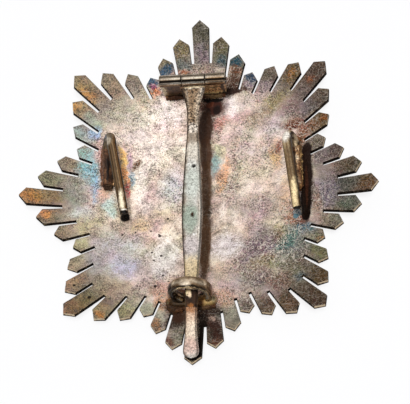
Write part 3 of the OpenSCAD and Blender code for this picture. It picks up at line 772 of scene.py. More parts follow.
def makePlate():
    tree, found = starTree()
    values = {
        "Vault radius": vaultRadius * mm, "Thickness": plate["thickness"] * mm,
        "Back height": plate["backHeight"] * mm, "Kerf": plate["kerf"] * mm,
        "Half pitch": math.pi / (plate["points"] * plate["raysPerPoint"]),
        "Unevenness": plate["unevenness"] * mm, "Columns": plate["columns"],
        "Rows inside": plate["rowsInside"], "Rows outside": plate["rowsOutside"],
    }
    piece = growFrom("starPlate", rayPoints(), tree, found, values)
    for label in rayNames + ("wall", "front"):
        spent = piece.data.attributes.get(label)
        if spent:
            piece.data.attributes.remove(spent)
    flared(piece, plate["flare"])
    bevelled(piece, plate["edge"] * mm, 40, 50, piece.data.materials.find(plateEdge.name))
    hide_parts("star_plate")
    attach(piece, "root")
    return piece


starPlate = makePlate()
print("star plate:", len(starPlate.data.polygons), "faces")


boss = {"diameter": 29.0, "rim": 2.4, "sink": 0.7, "top": 4.35, "round": 0.35, "sides": 144}


def makeBoss():
    outer, sink, r = boss["diameter"] / 2, boss["sink"], boss["round"]
    field = outer - boss["rim"]
    # distance from the middle and height, from the front's middle round to the back's
    outline = [(0.001, sink), (field * 0.5, sink), (field - 0.3, sink), (field - 0.08, sink - 0.05)]
    outline += [(field, sink - 0.2), (field + 0.05, 0.25), (field + 0.2, 0.06), (field + 0.4, 0.0), (outer - r, 0.0)]
    outline += [(outer - r + r * math.sin(a), r - r * math.cos(a)) for a in (0.4, 0.8, 1.2, math.pi / 2)]
    outline += [(outer, 1.4), (outer - 0.12, 1.5), (outer - 0.12, 1.62), (outer, 1.72), (outer, 3.2)]
    outline += [(outer - 0.1, boss["top"]), (outer - 2.2, 4.3), (9, 4.0), (0.001, 3.8)]
    rings = [[(rho * mm * c, rho * mm * s, z * mm) for c, s in circle(boss["sides"])] for rho, z in outline]
    piece = outward(newPiece("frontBoss", *loft(rings), plateFront, 35))
    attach(piece, "root")
    return piece


makeBoss()
print("front boss made")


fittings = {
    # scale and reach of the push that frays the marks; scale, detail and roughness of the clouds and the specks
    "drift": (700, 0.0012), "clouds": (330, 4, 0.6), "specks": (2900, 1, 0.5),
    # where the three colours lie on the clouds, how far the bands wander, and the darkest grain
    "stops": (0.34, 0.5, 0.66), "wander": (0.24, 0.10), "darkest": 0.2,
}


def fittingMaterial(name, low, middle, high, shine, metal=0.95, grainScale=1400, dirt=0.5, dirtColour=(38, 26, 17),
                    bumpDepth=0.00004, streaks=None, marks=()):
    material, flow, shader = newMaterial(name, {"Specular IOR Level": 0.5})
    place = objectPlace(flow)
    moved = stray(flow, place, *fittings["drift"])
    broad = grain(flow, moved, *fittings["clouds"])
    fine = grain(flow, place, grainScale, 3, 0.65)
    speck = grain(flow, place, *fittings["specks"])
    colour = flow.ramp(broad, list(zip(fittings["stops"], (low, middle, high))))
    if streaks:
        # along a number stored on the mesh, or from one point to another, in millimetres
        along, bands, wander = streaks
        if isinstance(along, str):
            along = flow.node("ShaderNodeAttribute", {"attribute_name": along}, out=2)
        else:
            start, end = (Vector(point) * mm for point in along)
            way = (end - start) / (end - start).length_squared
            along = flow.vector("DOT_PRODUCT", flow.vector("SUBTRACT", place, start), way, out=1)
        wide, narrow = fittings["wander"]
        colour = streak(flow, colour, along + (swing(broad, wide) + swing(fine, narrow)) * wander, bands)
    if marks:
        colour = paint(flow, colour, moved, 2.0 + swing(fine, 4.0), marks)
    level = flow.math("MAXIMUM", 1 + (fine * 3.0 + speck * 3.4 - 3.2) * dirt, fittings["darkest"])
    colour = flow.vector("MULTIPLY", colour, flow.combine(level, level, level))
    dark = ((0.42 - fine) * 9).clip() * dirt
    colour = colour.blend(tone(*dirtColour), dark)
    bump = flow.bump(fine * 0.7 + broad * 0.3, 0.35, bumpDepth)
    rough = shine + swing(broad, 0.2) + dark * 0.3
    feed(flow, shader, Base_Color=colour, Roughness=rough.clip(), Metallic=(metal - dark * 0.4).clip(), Normal=bump)
    return material


grime = newMaterial("grime", {"Base Color": tone(24, 17, 12), "Roughness": 0.7, "Metallic": 0.2})[0]
# bands across the roll of the hinge, the blade, the ring, the leaf and the wires: position, colour, strength. They
# paint highlights and dark reflection lines along each piece, with the metal's own tone between them; the leaf's are
# darkest at its foot
rollLightBands = (
    (0, (112, 94, 74), 0.7), (0.13, (150, 130, 106), 0.7), (0.26, (216, 198, 174), 0.85),
    (0.37, (255, 242, 222), 0.9), (0.44, (160, 142, 118), 0.85), (0.5, (56, 43, 30), 0.95), (0.63, (42, 32, 22), 1),
    (0.67, (130, 112, 90), 0.9), (0.71, (255, 248, 236), 1), (0.78, (255, 238, 216), 0.9),
    (0.86, (184, 156, 128), 0.8), (0.94, (96, 74, 54), 0.9), (1, (34, 23, 15), 1),
)
hingeMetal = fittingMaterial(
    "hingeSilver", (160, 138, 112), (200, 184, 162), (232, 220, 204), 0.2, dirt=0.35,
    streaks=(((0, 28.085, 15.707), (0, 25.315, 14.693)), rollLightBands, 0.3), marks=(
        (-7.6, 26, 2.6, 1.2, 0, (120, 92, 70), 0.5), (5, 26, 3.4, 1.2, 0, (150, 112, 70), 0.7)))
# the neck's pale line at y 25.2 is a painted highlight, with a dark line just beside it
neckMetal = fittingMaterial(
    "neckGilt", (128, 102, 72), (164, 136, 102), (200, 174, 138), 0.4, metal=0.4, dirt=0.6, marks=(
        (-0.4, 25.2, 2.8, 0.45, 0, (248, 224, 186), 0.9), (-0.4, 25.9, 3.2, 0.3, 0, (60, 40, 26), 0.8)))
rodMetal = fittingMaterial("rodSilver", (120, 104, 84), (160, 146, 126), (196, 184, 166), 0.3)
bladeLightBands = (
    (0, (40, 28, 20), 1), (0.08, (62, 45, 32), 0.95), (0.17, (140, 120, 98), 0.65), (0.3, (220, 212, 200), 0),
    (0.74, (220, 212, 200), 0), (0.82, (140, 124, 106), 0.6), (0.9, (230, 220, 206), 0.6), (1, (110, 90, 72), 0.85),
)
pinMetal = fittingMaterial(
    "pinSilver", (184, 176, 164), (218, 210, 200), (242, 238, 230), 0.26, metal=0.8, dirt=0.45, grainScale=1900,
    streaks=("across", bladeLightBands, 1), marks=(
        (-0.6, 12, 2.4, 3, 0, (150, 128, 106), 0.8), (-0.4, 8.6, 2.2, 3, 0, (238, 228, 212), 0.6),
        (-0.4, 0.5, 2.4, 6, 0, (204, 212, 202), 0.7), (-0.7, -8.5, 2.4, 5, 0, (156, 170, 154), 0.85),
        (-0.3, -15.5, 2.6, 3.2, 0, (196, 182, 184), 0.6), (-0.2, -21.5, 3, 4.6, 0, (208, 182, 136), 0.8),
        (-0.1, -33, 2.4, 3, 0, (214, 172, 140), 0.8), (0, -36.5, 2.4, 4, 0, (240, 216, 190), 0.8),
        (0, -31.2, 2.2, 1.3, 0, (166, 116, 78), 0.9), (0.1, -40.2, 2.6, 2.6, 0, (212, 176, 162), 0.8),
        (-0.15, 4.7, 0.75, 0.55, 0, (20, 14, 10), 1), (-0.2, -7.6, 0.5, 0.85, 0, (58, 40, 26), 1),
        (0.5, -12.6, 0.5, 0.3, 30, (250, 246, 240), 0.9)))
# the pale band at y 25.2 along the flare's top ridge is a painted highlight
pinFlare = fittingMaterial(
    "pinFlare", (92, 70, 50), (118, 94, 70), (150, 126, 100), 0.34, metal=0.5, dirt=1.35, grainScale=1500,
    streaks=("across", bladeLightBands, 1), marks=(
        (0.7, 19.6, 1.4, 5, 0, (186, 166, 142), 0.6), (-0.5, 25.2, 4.6, 0.7, 0, (236, 222, 196), 0.9),
        (-0.6, 14.2, 1.6, 2, 0, (222, 212, 200), 0.6)))
# the stretch of the pin inside the ring: its dark colours are the ring's painted shadow and dark reflection, its pale
# marks painted highlights
pinRingShadow = fittingMaterial(
    "pinUnderRing", (34, 22, 15), (46, 30, 20), (74, 50, 32), 0.5, metal=0.5, dirt=0.3, marks=(
        (-0.9, -26.8, 1, 1.2, 0, (255, 232, 186), 1), (-0.5, -27.7, 0.6, 1, 14, (255, 226, 190), 1),
        (0, -30.4, 0.9, 0.7, 0, (160, 100, 50), 0.8)))
ringLightBands = (
    (0, (40, 28, 18), 0.8), (0.25, (40, 29, 20), 0.95), (0.33, (104, 82, 62), 0.8), (0.41, (182, 150, 116), 0.6),
    (0.5, (255, 232, 202), 0.9), (0.57, (150, 118, 86), 0.7), (0.62, (40, 29, 19), 0.95), (0.66, (34, 24, 16), 1),
    (0.7, (224, 196, 150), 0.95), (0.8, (255, 244, 220), 1), (0.86, (196, 156, 96), 0.8), (0.93, (80, 54, 30), 0.8),
    (1, (40, 28, 18), 0.8),
)
# the white mark at (-1, -25.9) is a painted highlight on the ring's top
ringMetal = fittingMaterial(
    "ringGilt", (118, 94, 70), (158, 133, 104), (194, 172, 140), 0.22, metal=0.8, dirt=0.25,
    streaks=("turn", ringLightBands, 1), marks=(
        (-5.6, -27, 2.3, 3.2, 0, (38, 26, 18), 1), (-4.2, -28.3, 1.4, 1, 0, (30, 19, 13), 1),
        (4.7, -26, 1.3, 2.4, 0, (104, 76, 52), 0.85), (-1, -25.9, 1.7, 0.7, 0, (255, 236, 210), 0.9)))
barMetal = fittingMaterial(
    "barGilt", (134, 108, 66), (172, 142, 88), (214, 184, 124), 0.3, metal=0.4, dirt=0.6, marks=(
        (2, -27, 2, 1.6, 0, (150, 108, 52), 0.9), (4.4, -26.8, 1.3, 1.4, 0, (176, 160, 124), 0.9),
        (2.8, -27.9, 1.8, 0.5, 0, (204, 172, 118), 0.65), (0.8, -28, 1.6, 1, 0, (84, 46, 20), 0.9),
        (-4.4, -27.4, 4, 2.8, 0, (52, 35, 20), 0.97)))
rightWireLightBands = (
    (0, (24, 16, 10), 1), (0.07, (70, 52, 32), 0.9), (0.18, (176, 150, 110), 0.7), (0.34, (212, 190, 152), 0.75),
    (0.44, (132, 102, 64), 0.8), (0.5, (72, 54, 34), 0.9), (0.57, (170, 144, 106), 0.7), (0.7, (216, 196, 160), 0.7),
    (0.8, (112, 84, 50), 0.8), (0.88, (48, 34, 21), 0.95), (1, (22, 15, 10), 1),
)
leftWireLightBands = (
    (0, (18, 13, 9), 1), (0.1, (40, 29, 20), 0.95), (0.19, (132, 104, 70), 0.8), (0.27, (40, 29, 20), 0.85),
    (0.44, (114, 88, 58), 0.8), (0.58, (48, 32, 20), 0.9), (0.7, (164, 134, 94), 0.8), (0.78, (92, 60, 46), 0.85),
    (0.86, (150, 112, 66), 0.85), (0.93, (54, 34, 22), 0.95), (1, (20, 14, 9), 1),
)
rightFoot = fittingMaterial(
    "rightHookFoot", (104, 70, 42), (168, 130, 92), (230, 208, 176), 0.45, metal=0.25, dirt=1, grainScale=1500,
    bumpDepth=0.0002, dirtColour=(72, 42, 26), marks=(
        (24.9, 6, 0.6, 8, 0, (96, 58, 36), 0.8), (23.2, 6, 0.5, 8, 0, (52, 34, 22), 0.9)))
leftFoot = fittingMaterial(
    "leftHookFoot", (42, 26, 16), (82, 54, 36), (132, 94, 64), 0.5, metal=0.3, dirt=0.8, grainScale=1500,
    bumpDepth=0.0002, marks=(
        (-23.9, 8, 0.6, 6, 0, (104, 78, 64), 0.7), (-22.6, 7, 0.4, 5, 0, (18, 11, 8), 1)))
# on the right hook the white mark on the bend and the cream strip near the free end are painted highlights
rightMetal = fittingMaterial(
    "rightHookGilt", (130, 104, 68), (170, 142, 98), (214, 190, 148), 0.34, metal=0.4, dirt=0.4,
    streaks=("flank", rightWireLightBands, 1), marks=(
        (21.9, 11.6, 1.3, 2, 0, (250, 242, 230), 1), (23.2, 12.2, 0.35, 0.7, 0, (20, 13, 9), 1),
        (23.9, 12, 0.6, 1.4, 0, (214, 190, 156), 0.8), (22.9, 5, 1.7, 6.5, 4, (92, 68, 42), 0.75),
        (23.9, -2.4, 1, 4.4, 0, (246, 222, 172), 0.9), (24.5, -5.9, 1.6, 0.45, 0, (16, 12, 9), 1)))
leafLightBands = (
    (0, (20, 12, 8), 1), (0.07, (24, 15, 10), 1), (0.16, (255, 226, 166), 0.95), (0.28, (246, 204, 140), 0.8),
    (0.42, (190, 136, 88), 0.6), (0.55, (236, 190, 136), 0.4), (0.66, (70, 44, 28), 0.7),
    (0.74, (220, 172, 122), 0.6), (0.86, (150, 104, 66), 0.6), (0.97, (36, 23, 15), 0.9),
)
# on the leaf the dark mark at x -6 is painted shade under the roll, and the pale mark at its left edge a painted
# highlight
leafMetal = fittingMaterial(
    "leafSilver", (176, 126, 82), (228, 180, 130), (255, 230, 186), 0.4, metal=0.1, dirt=1, grainScale=1900,
    streaks=(((0, 0, 7), (0, 0, 14.4)), leafLightBands, 1), marks=(
        (-6, 26, 2.7, 2.2, 0, (66, 38, 28), 0.9), (-8.7, 26, 0.7, 2.2, 0, (236, 216, 180), 1),
        (5.9, 26, 0.5, 2, 0, (40, 26, 17), 0.9)))
pinShade = fittingMaterial(
    "pinShadedSide", (44, 33, 24), (62, 47, 35), (98, 80, 60), 0.45, metal=0.5, dirt=0.4)
# on the left hook the pale mark on the bend, the cream strip near the free end and the white line at its end are
# painted highlights
leftMetal = fittingMaterial(
    "leftHookGilt", (64, 46, 30), (96, 72, 47), (140, 112, 80), 0.3, metal=0.5, dirt=0.25,
    streaks=("flank", leftWireLightBands, 1), marks=(
        (-21.9, 13.2, 1.7, 2.2, 0, (126, 112, 94), 0.9), (-21.6, 12.6, 0.9, 1.2, 0, (196, 182, 162), 0.8),
        (-18.35, -2.2, 0.75, 3.4, 4, (250, 234, 204), 0.95), (-17.9, -4.9, 1.6, 0.5, 0, (16, 12, 9), 1),
        (-17.9, -4.3, 1.1, 0.28, 0, (250, 244, 232), 0.9)))
# the bright mark at (3, 25.7) is a painted highlight on the solder along the leaf's foot
crust = fittingMaterial(
    "solderCrust", (70, 42, 26), (128, 84, 52), (214, 172, 122), 0.5, metal=0.4, dirt=0.7, grainScale=1900,
    bumpDepth=0.0001, marks=(
        (-4.6, -26.6, 2.4, 2, 0, (74, 46, 26), 0.9), (-4.3, -25.6, 0.8, 0.6, 0, (170, 96, 40), 0.9),
        (-5.6, -28.8, 3, 1.4, 0, (58, 40, 25), 0.9), (-6.9, -27.2, 0.5, 0.7, 0, (106, 100, 70), 0.6),
        (3, 25.7, 2.6, 1, 0, (255, 222, 160), 1), (1, -29, 6, 1.2, 0, (64, 42, 28), 0.9),
        (-24.2, 8, 1.6, 7, 0, (120, 84, 66), 0.7), (-1, 25.8, 9, 1.6, 0, (78, 48, 34), 0.85),
        (-1, 27.8, 9, 1.4, 0, (88, 58, 40), 0.85), (24.6, 6, 1.4, 6.5, 0, (206, 168, 112), 0.8),
        (-22.8, 3, 2, 1, 0, (44, 28, 19), 0.9)))


hinge = {
    "x": -0.8, "length": 16.2, "radius": 1.475, "axisY": 26.7, "axisZ": 15.2,
    "rod": 0.6, "rodFit": 0.02, "rodPlay": 0.06, "middleX": -0.51, "middle": 5.65, "gap": 0.16, "leaf": 1.4,
    "seamTilt": 60.0, "seamWide": 0.46, "seamDeep": 0.6,
    # how far the leaf's sides stand in from the roll's ends, at the top and at the foot
    "leafLeft": (0.2, -0.25), "leafRight": (0.3, 1.1), "cornerCut": 0.14, "sides": 56, "swells": 8,
    # the seam's lips: how far round and how far in, and where the plain roll begins
    "lips": ((0.95, 0.16), (1.35, 0.035)), "rollFrom": 1.9,
}


def knuckle(x0, x1, bore):
    # a rolled tube with the seam where the sheet closes, round the hinge axis
    r, tilt, sides = hinge["radius"], math.radians(180 + hinge["seamTilt"]), hinge["sides"]
    lip = hinge["seamWide"] / 2 / r
    whole, rollFrom = 2 * math.pi, lip * hinge["rollFrom"]
    angles = [tilt + whole * k / sides for k in range(1, sides)]
    clear = [a for a in angles if min((a - tilt) % whole, (tilt - a) % whole) > rollFrom]

    def ring(x, radius, notch):
        deep = radius - hinge["seamDeep"] * notch
        half = hinge["seamWide"] / 2 * notch
        lips = [(math.asin(half / max(deep, 0.1)), deep)]
        lips += [(lip * along, radius - inset * notch) for along, inset in hinge["lips"]]
        rim = [(tilt + a, rr) for a, rr in lips] + [(a, radius) for a in clear]
        rim += [(tilt - a, rr) for a, rr in reversed(lips)]
        # the angle runs from +Y towards +Z, so the seam at 180 + tilt is mirrored to the upper side
        return [
            (x * mm, (hinge["axisY"] + rr * math.cos(a)) * mm, (hinge["axisZ"] - rr * math.sin(a)) * mm)
            for a, rr in rim]

    c, steps = hinge["cornerCut"], hinge["swells"]
    outside = [ring(x0, r - c, 1), ring(x0 + c * 0.35, r - c * 0.35, 1), ring(x0 + c, r, 1)]
    for k in range(1, steps):
        outside.append(ring(x0 + c + (x1 - x0 - 2 * c) * k / steps, r + 0.012 * math.sin(k * 2.1 + x0), 1))
    outside += [ring(x1 - c, r, 1), ring(x1 - c * 0.35, r - c * 0.35, 1), ring(x1, r - c, 1)]
    inside = [ring(x, bore + wider, 0) for x, wider in ((x1, 0.08), (x1 - 0.1, 0), (x0 + 0.1, 0), (x0, 0.08))]
    count, rows = len(outside[0]), len(outside)
    seam = [i * count + j for i in range(rows - 1) for j in (0, count - 2, count - 1)]
    ends = [i * count + j for i in (rows - 1, rows + 3) for j in range(count)]
    return loft(outside + inside, wrap=True) + (seam + ends,)


def makeBracket():
    left, right = hinge["x"] - hinge["length"] / 2, hinge["x"] + hinge["length"] / 2
    roomLeft = hinge["middleX"] - hinge["middle"] / 2 - hinge["gap"]
    roomRight = hinge["middleX"] + hinge["middle"] / 2 + hinge["gap"]
    bore = hinge["rod"] + hinge["rodFit"]
    one, two = knuckle(left, roomLeft, bore), knuckle(roomRight, right, bore)
    dirty = one[2] + [len(one[1]) + i for i in two[2]]
    y0, y1 = hinge["axisY"] - hinge["leaf"] / 2, hinge["axisY"] + hinge["leaf"] / 2
    low = hinge["axisZ"] - hinge["radius"] - 0.35
    high = hinge["axisZ"] - hinge["rod"] - 0.25
    # the leaf: columns across, each from the plate up to the underside of the roll or of the pin's room
    footLeft, footRight = left + hinge["leafLeft"][1], right - hinge["leafRight"][1]
    topLeft, topRight = left + hinge["leafLeft"][0], right - hinge["leafRight"][0]
    outline = [(footLeft + (footRight - footLeft) * k / 10, None) for k in range(11)]
    outline += [(footRight + (topRight - footRight) * 0.8, high - 1.2), (topRight, high)]
    outline += [(roomRight + 0.12, high), (roomRight, high - 0.12), (roomRight, low + 0.3), (roomRight - 0.3, low)]
    outline += [(roomLeft + 0.3, low), (roomLeft, low + 0.3), (roomLeft, high - 0.12), (roomLeft - 0.12, high)]
    outline += [(topLeft, high), (footLeft + (topLeft - footLeft) * 0.8, high - 1.2)]
    leaf = []
    for y in (y0 + (y1 - y0) * k / 3 for k in range(4)):
        leaf.append([(x * mm, y * mm, (backAt(x, y) - 0.15 if z is None else z) * mm) for x, z in outline])
    points, faces = joined(one[:2], two[:2], loft(leaf))
    finishes = [(grime, dirty), (leafMetal, range(len(one[1]) + len(two[1]), len(faces)))]
    piece = outward(newPiece("hingeBracket", points, faces, hingeMetal, 40, finishes))
    bevelled(piece, 0.1 * mm, 50, 40)
    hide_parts("hinge_bracket")
    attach(piece, "root")
    return piece


def makeRod():
    half, r = (hinge["length"] - 0.4) / 2, hinge["rod"]
    stations = [(-half, 0.25), (-half + 0.04, 0.42), (-half + 0.14, 0.55), (-half + 0.3, r), (0, r), (half - 0.3, r)]
    stations += [(half - 0.14, 0.55), (half - 0.04, 0.42), (half, 0.25)]
    rings = []
    for x, rho in stations:
        rings.append([
            ((hinge["x"] + x) * mm, (hinge["axisY"] + rho * c) * mm, (hinge["axisZ"] + rho * s) * mm)
            for c, s in circle(32)])
    piece = outward(newPiece("hingeRod", *loft(rings), rodMetal, 60))
    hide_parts("hinge_rod")
    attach(piece, "root")
    return piece


makeBracket()
makeRod()
print("hinge made")


dress = {
    "x": -0.47, "drift": -0.013, "fall": 0.005, "rise": 10.3, "thickness": 1.4, "bevel": 0.45,
    "step": 0.35, "fineStep": 0.12,
    # y and width down the blade
    "blade": (
        (25.1, 6.0), (24.2, 5.6), (22.8, 4.7), (21.2, 3.8), (19.6, 3.15), (17.5, 2.85), (14.5, 2.8), (11.9, 3.0),
        (8.7, 3.5), (5.6, 3.85), (0, 4.5), (-5, 4.95), (-9, 4.95), (-12, 4.75), (-17.7, 4.1), (-21, 3.65), (-27, 3.1),
        (-32.2, 2.85), (-36.4, 2.9), (-39, 3.3), (-41, 3.7), (-42, 3.5), (-42.6, 2.6), (-42.9, 1.2),
    ),
    # small dents: x, y, two radii, depth
    "dents": (
        (-0.15, 4.7, 0.6, 0.42, 0.22), (-0.2, -7.6, 0.42, 0.66, 0.2), (0.4, -17.0, 0.5, 0.4, 0.1),
        (-1.0, -12.5, 1.0, 0.7, 0.05), (-0.9, 16.8, 0.5, 0.5, 0.08), (-0.3, 18.4, 0.5, 0.4, 0.08),
    ),
    # y, what is taken off the width and off the top: the rounding at the head; at the tip, y, width and off the top
    "head": ((25.18, 0.35, 0.45), (25.12, 0.12, 0.28), (24.95, 0, 0.1)), "span": (24.8, -42.7), "fineBelow": -41,
    "tip": ((-42.75, 2.1, 0.05), (-42.86, 1.4, 0.2), (-42.9, 0.8, 0.35)),
    # where the dark flare ends, and the stretch on which the ring's shadow and dark reflection are painted
    "flareFrom": 13.2, "underRing": (-30.7, -26.4),
}


def bladeWidth(y):
    rows = dress["blade"]
    for k in range(len(rows) - 1):
        if rows[k + 1][0] <= y <= rows[k][0]:
            (ya, wa), (yb, wb) = rows[k], rows[k + 1]
            yp, wp = rows[max(k - 1, 0)]
            yn, wn = rows[min(k + 2, len(rows) - 1)]
            t, span = (y - ya) / (yb - ya), yb - ya
            ma = 0 if k == 0 else (wb - wp) / (yb - yp) * span
            mb = (wn - wa) / (yn - ya) * span
            start, end = (2 * t ** 3 - 3 * t ** 2 + 1) * wa, (3 * t ** 2 - 2 * t ** 3) * wb
            return start + (t ** 3 - 2 * t ** 2 + t) * ma + end + (t ** 3 - t ** 2) * mb
    return rows[-1][1] if y < rows[-1][0] else rows[0][1]


def dentAt(x, y):
    deep = 0.0
    for dx, dy, rx, ry, depth in dress["dents"]:
        d = math.hypot((x - dx) / rx, (y - dy) / ry)
        deep += depth * max(0.0, 1 - d * d) ** 1.5
    return deep


def bladeSection(y, width, drop=0.0):
    half, x0 = width / 2, dress["x"] + dress["drift"] * y
    top = plate["backHeight"] + dress["rise"] + dress["fall"] * y - drop
    low = plate["backHeight"] + dress["rise"] + dress["fall"] * y - dress["thickness"] + min(drop, 0.15)
    cut, nick = min(dress["bevel"], half * 0.7), 0.2
    ring = [(half - nick, low + 0.3), (half * 0.5, low + 0.06), (0, low), (-half * 0.5, low + 0.06)]
    ring += [(-half + nick, low + 0.3), (-half + 0.05, low + 0.4), (-half, low + 0.55)]
    ring += [(-half, top - cut - 0.02), (-half + 0.04, top - cut + 0.06)]
    ring += [(-half + cut * 0.5, top - cut * 0.5), (-half + cut - 0.06, top - 0.05)]
    ring += [((half - cut) * a, top + 0.02 * (1 - a * a)) for a in (-1 + 2 * k / 12 for k in range(13))]
    ring += [(half - cut + 0.06, top - 0.05), (half - cut * 0.5, top - cut * 0.5), (half - 0.04, top - cut + 0.06)]
    ring += [(half, top - cut - 0.02), (half, low + 0.55), (half - 0.05, low + 0.4)]
    out = []
    for x, z in ring:
        if z > top - 0.2:
            z -= dentAt(x0 + x, y)
        # the blade was hammered and filed by hand
        sway = 0.03 * noise.noise(Vector((x * 0.3, y * 0.22, 3.0)))
        lift = 0.03 * noise.noise(Vector((x * 0.4, y * 0.35, 7.0)))
        out.append(((x0 + x + sway) * mm, y * mm, (z + lift) * mm))
    return out


def makePin():
    rows = [(y, bladeWidth(y) - less, drop) for y, less, drop in dress["head"]]
    y, last = dress["span"]
    while y > last:
        rows.append((y, bladeWidth(y), 0.0))
        near = any(abs(y - d[1]) < d[3] + 0.3 for d in dress["dents"]) or y < dress["fineBelow"]
        y -= dress["fineStep"] if near else dress["step"]
    rows += dress["tip"]
    sections = [bladeSection(*row) for row in rows]
    blade, count = loft(sections), len(sections[0])
    low, high = dress["underRing"]

    def bandFaces(columns, wanted=lambda y, j: True):
        return [i * count + j for i in range(len(rows) - 1) for j in columns if wanted(rows[i][0], j)]

    crown = range(9, count - 3)
    shaded = bandFaces(range(5, 9))
    ringShadowed = bandFaces(crown, lambda y, j: low - 0.6 * noise.noise(Vector((j * 0.7, 1, 0))) < y < high)
    flare = bandFaces(crown, lambda y, j: y > dress["flareFrom"])
    across = []
    for (y, width, _), ring in zip(rows, sections):
        across += [0.5 + 0.5 * (p[0] / mm - dress["x"] - dress["drift"] * y) / (width / 2) for p in ring]
    mid, half = hinge["middleX"], hinge["middle"] / 2
    roll = knuckle(mid - half, mid + half, hinge["rod"] + hinge["rodPlay"])
    top, wide = hinge["axisZ"] - 0.7, half - 0.1
    neck = []
    for y, up, inset in ((24.9, -0.1, 0.1), (25.2, 0, 0), (25.6, 0.03, 0), (26.05, -0.1, 0)):
        z, w = top + up, wide - inset
        corners = ((1, top - 1.05), (-1, top - 1.05), (-1, z - 0.12), (-0.97, z), (0.97, z), (1, z - 0.12))
        neck.append([((mid + s * w) * mm, y * mm, zz * mm) for s, zz in corners])
    points, faces = joined(blade, roll[:2], loft(neck))
    dirty = [len(blade[1]) + i for i in roll[2]]
    necked = range(len(blade[1]) + len(roll[1]), len(faces))
    rolled = [i for i in range(len(blade[1]), necked[0]) if i not in set(dirty)]
    across += [0.5] * (len(points) - len(across))
    finishes = [(pinFlare, flare), (pinShade, shaded), (pinRingShadow, ringShadowed), (grime, dirty), (hingeMetal, rolled)]
    finishes.append((neckMetal, necked))
    piece = outward(newPiece("dressPin", points, faces, pinMetal, 32, finishes, {"across": across}))
    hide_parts("pin")
    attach(piece, "pin")
    return piece


makePin()
print("dress pin made")


catch = {
    "x": -0.75, "y": -27.1, "barLeft": -6.6, "barRight": 4.9, "barWide": 2.9, "swell": 0.5,
    "ring": 10.6, "thick": 1.9, "wide": 2.9, "wideLeft": 2.35, "lean": -9.0, "back": 0.25, "from": -30.0, "to": 232.0,
    "round": 0.85, "steps": 92,
    # the rounded free end of the ring: how small it is there, and how far along
    "end": {-3: (0.45, 0.34), -2: (0.8, 0.22), -1: (0.95, 0.08)},
    # the bar's side from the foot up: how far in, and how high
    "bar": ((0.0, -0.15), (0.0, 0.4), (0.1, 0.75), (0.32, 1.05), (0.6, 1.22), (0.95, 1.3), (1.3, 1.32)),
}


def roundedSection(thick, wide, r, steps=5):
    ring = []
    for right, far, turn in ((1, 1, 0), (-1, 1, 90), (-1, -1, 180), (1, -1, 270)):
        cx, cy = right * (thick / 2 - r), far * (wide / 2 - r)
        for a in (math.radians(turn + 90 * k / steps) for k in range(steps + 1)):
            ring.append((cx + r * math.cos(a), cy + r * math.sin(a)))
    return ring


def makeCatch():
    seat = backAt(catch["x"], catch["y"])
    middle = (catch["ring"] - catch["thick"]) / 2
    lean = Matrix.Rotation(math.radians(catch["lean"]), 3, "X")
    base = Vector((catch["x"], catch["y"] + catch["back"], seat))
    rings, turns, steps = [], [], catch["steps"]
    for k in range(min(catch["end"]), steps + 1):
        share = max(k, 0) / steps
        a = math.radians(catch["from"] + (catch["to"] - catch["from"]) * share)
        shrink, slide = catch["end"].get(k, (1.0, 0.0))
        left = min(max((share - 0.5) / 0.25, 0), 1)
        wide = (catch["wide"] + (catch["wideLeft"] - catch["wide"]) * left * left * (3 - 2 * left)) * shrink
        thick = catch["thick"] * shrink * (1 + 0.03 * math.sin(share * 9))
        along = Vector((math.sin(a), 0, -math.cos(a))) * slide
        ring = []
        for q, w in roundedSection(thick, wide, min(catch["round"], thick * 0.42)):
            p = Vector(((middle + q) * math.cos(a), w, catch["ring"] / 2 - 0.1 + (middle + q) * math.sin(a))) + along
            ring.append((base + lean @ p) * mm)
            turns.append(0.5 + math.atan2(-w * 2 / wide, q * 2 / thick) / (2 * math.pi))
        rings.append(ring)
    # the end that meets the bar stops inside it
    band = loft(rings)
    half = catch["barWide"] / 2
    left, right = catch["barLeft"] + half, catch["barRight"] - half

    def slab(inset, high):
        ring, r = [], half - inset
        for side, begin, end in ((-1, right, left), (1, left, right)):
            for a in (math.radians(90 * side + 15 * k) for k in range(13)):
                ring.append((begin + r * math.cos(a), catch["y"] + r * math.sin(a)))
            ring += [(begin + (end - begin) * k / 8, catch["y"] - side * r) for k in range(1, 8)]
        # the gilt end of the bar is the fuller one
        fuller = lambda x: 1 + catch["swell"] * min(max((x - 0.5) / 2.5, 0), 1) if high > 0 else 1
        return [(x * mm, y * mm, (backAt(x, y) + high * fuller(x)) * mm) for x, y in ring]

    bar = loft([slab(inset, high) for inset, high in catch["bar"]])
    points, faces = joined(band, bar)
    turns += [0.5] * (len(points) - len(turns))
    finishes = [(barMetal, range(len(band[1]), len(faces)))]
    piece = outward(newPiece("catchHook", points, faces, ringMetal, 45, finishes, {"turn": turns}))
    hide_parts("catch_hook")
    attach(piece, "root")
    return piece


makeCatch()
print("catch made")


hooks = {
    "wire": 2.3, "gap": 0.05, "bendSteps": 26, "sides": 28, "taper": 0.92, "footRings": 13, "flats": 0.012,
    "footSteps": 8, "freeSteps": 12,
    # x, y and height of the wire's middle: foot end, start of the bend, end of the bend, free end
    "right": ((24.0, 1.0, None), (23.5, 10.1, None), (22.1, 10.4, 6.3), (24.4, -5.8, 3.9)),
    "left": ((-22.8, 3.3, None), (-23.1, 11.7, None), (-20.9, 12.0, 6.3), (-17.9, -5.0, 3.9)),
    # the rounded ends: distance along from the end, share of the radius there
    "footEnd": ((0, 0.72), (0.12, 0.93), (0.35, 1)), "freeEnd": ((0.16, 1), (0.05, 0.97), (0, 0.88)),
}


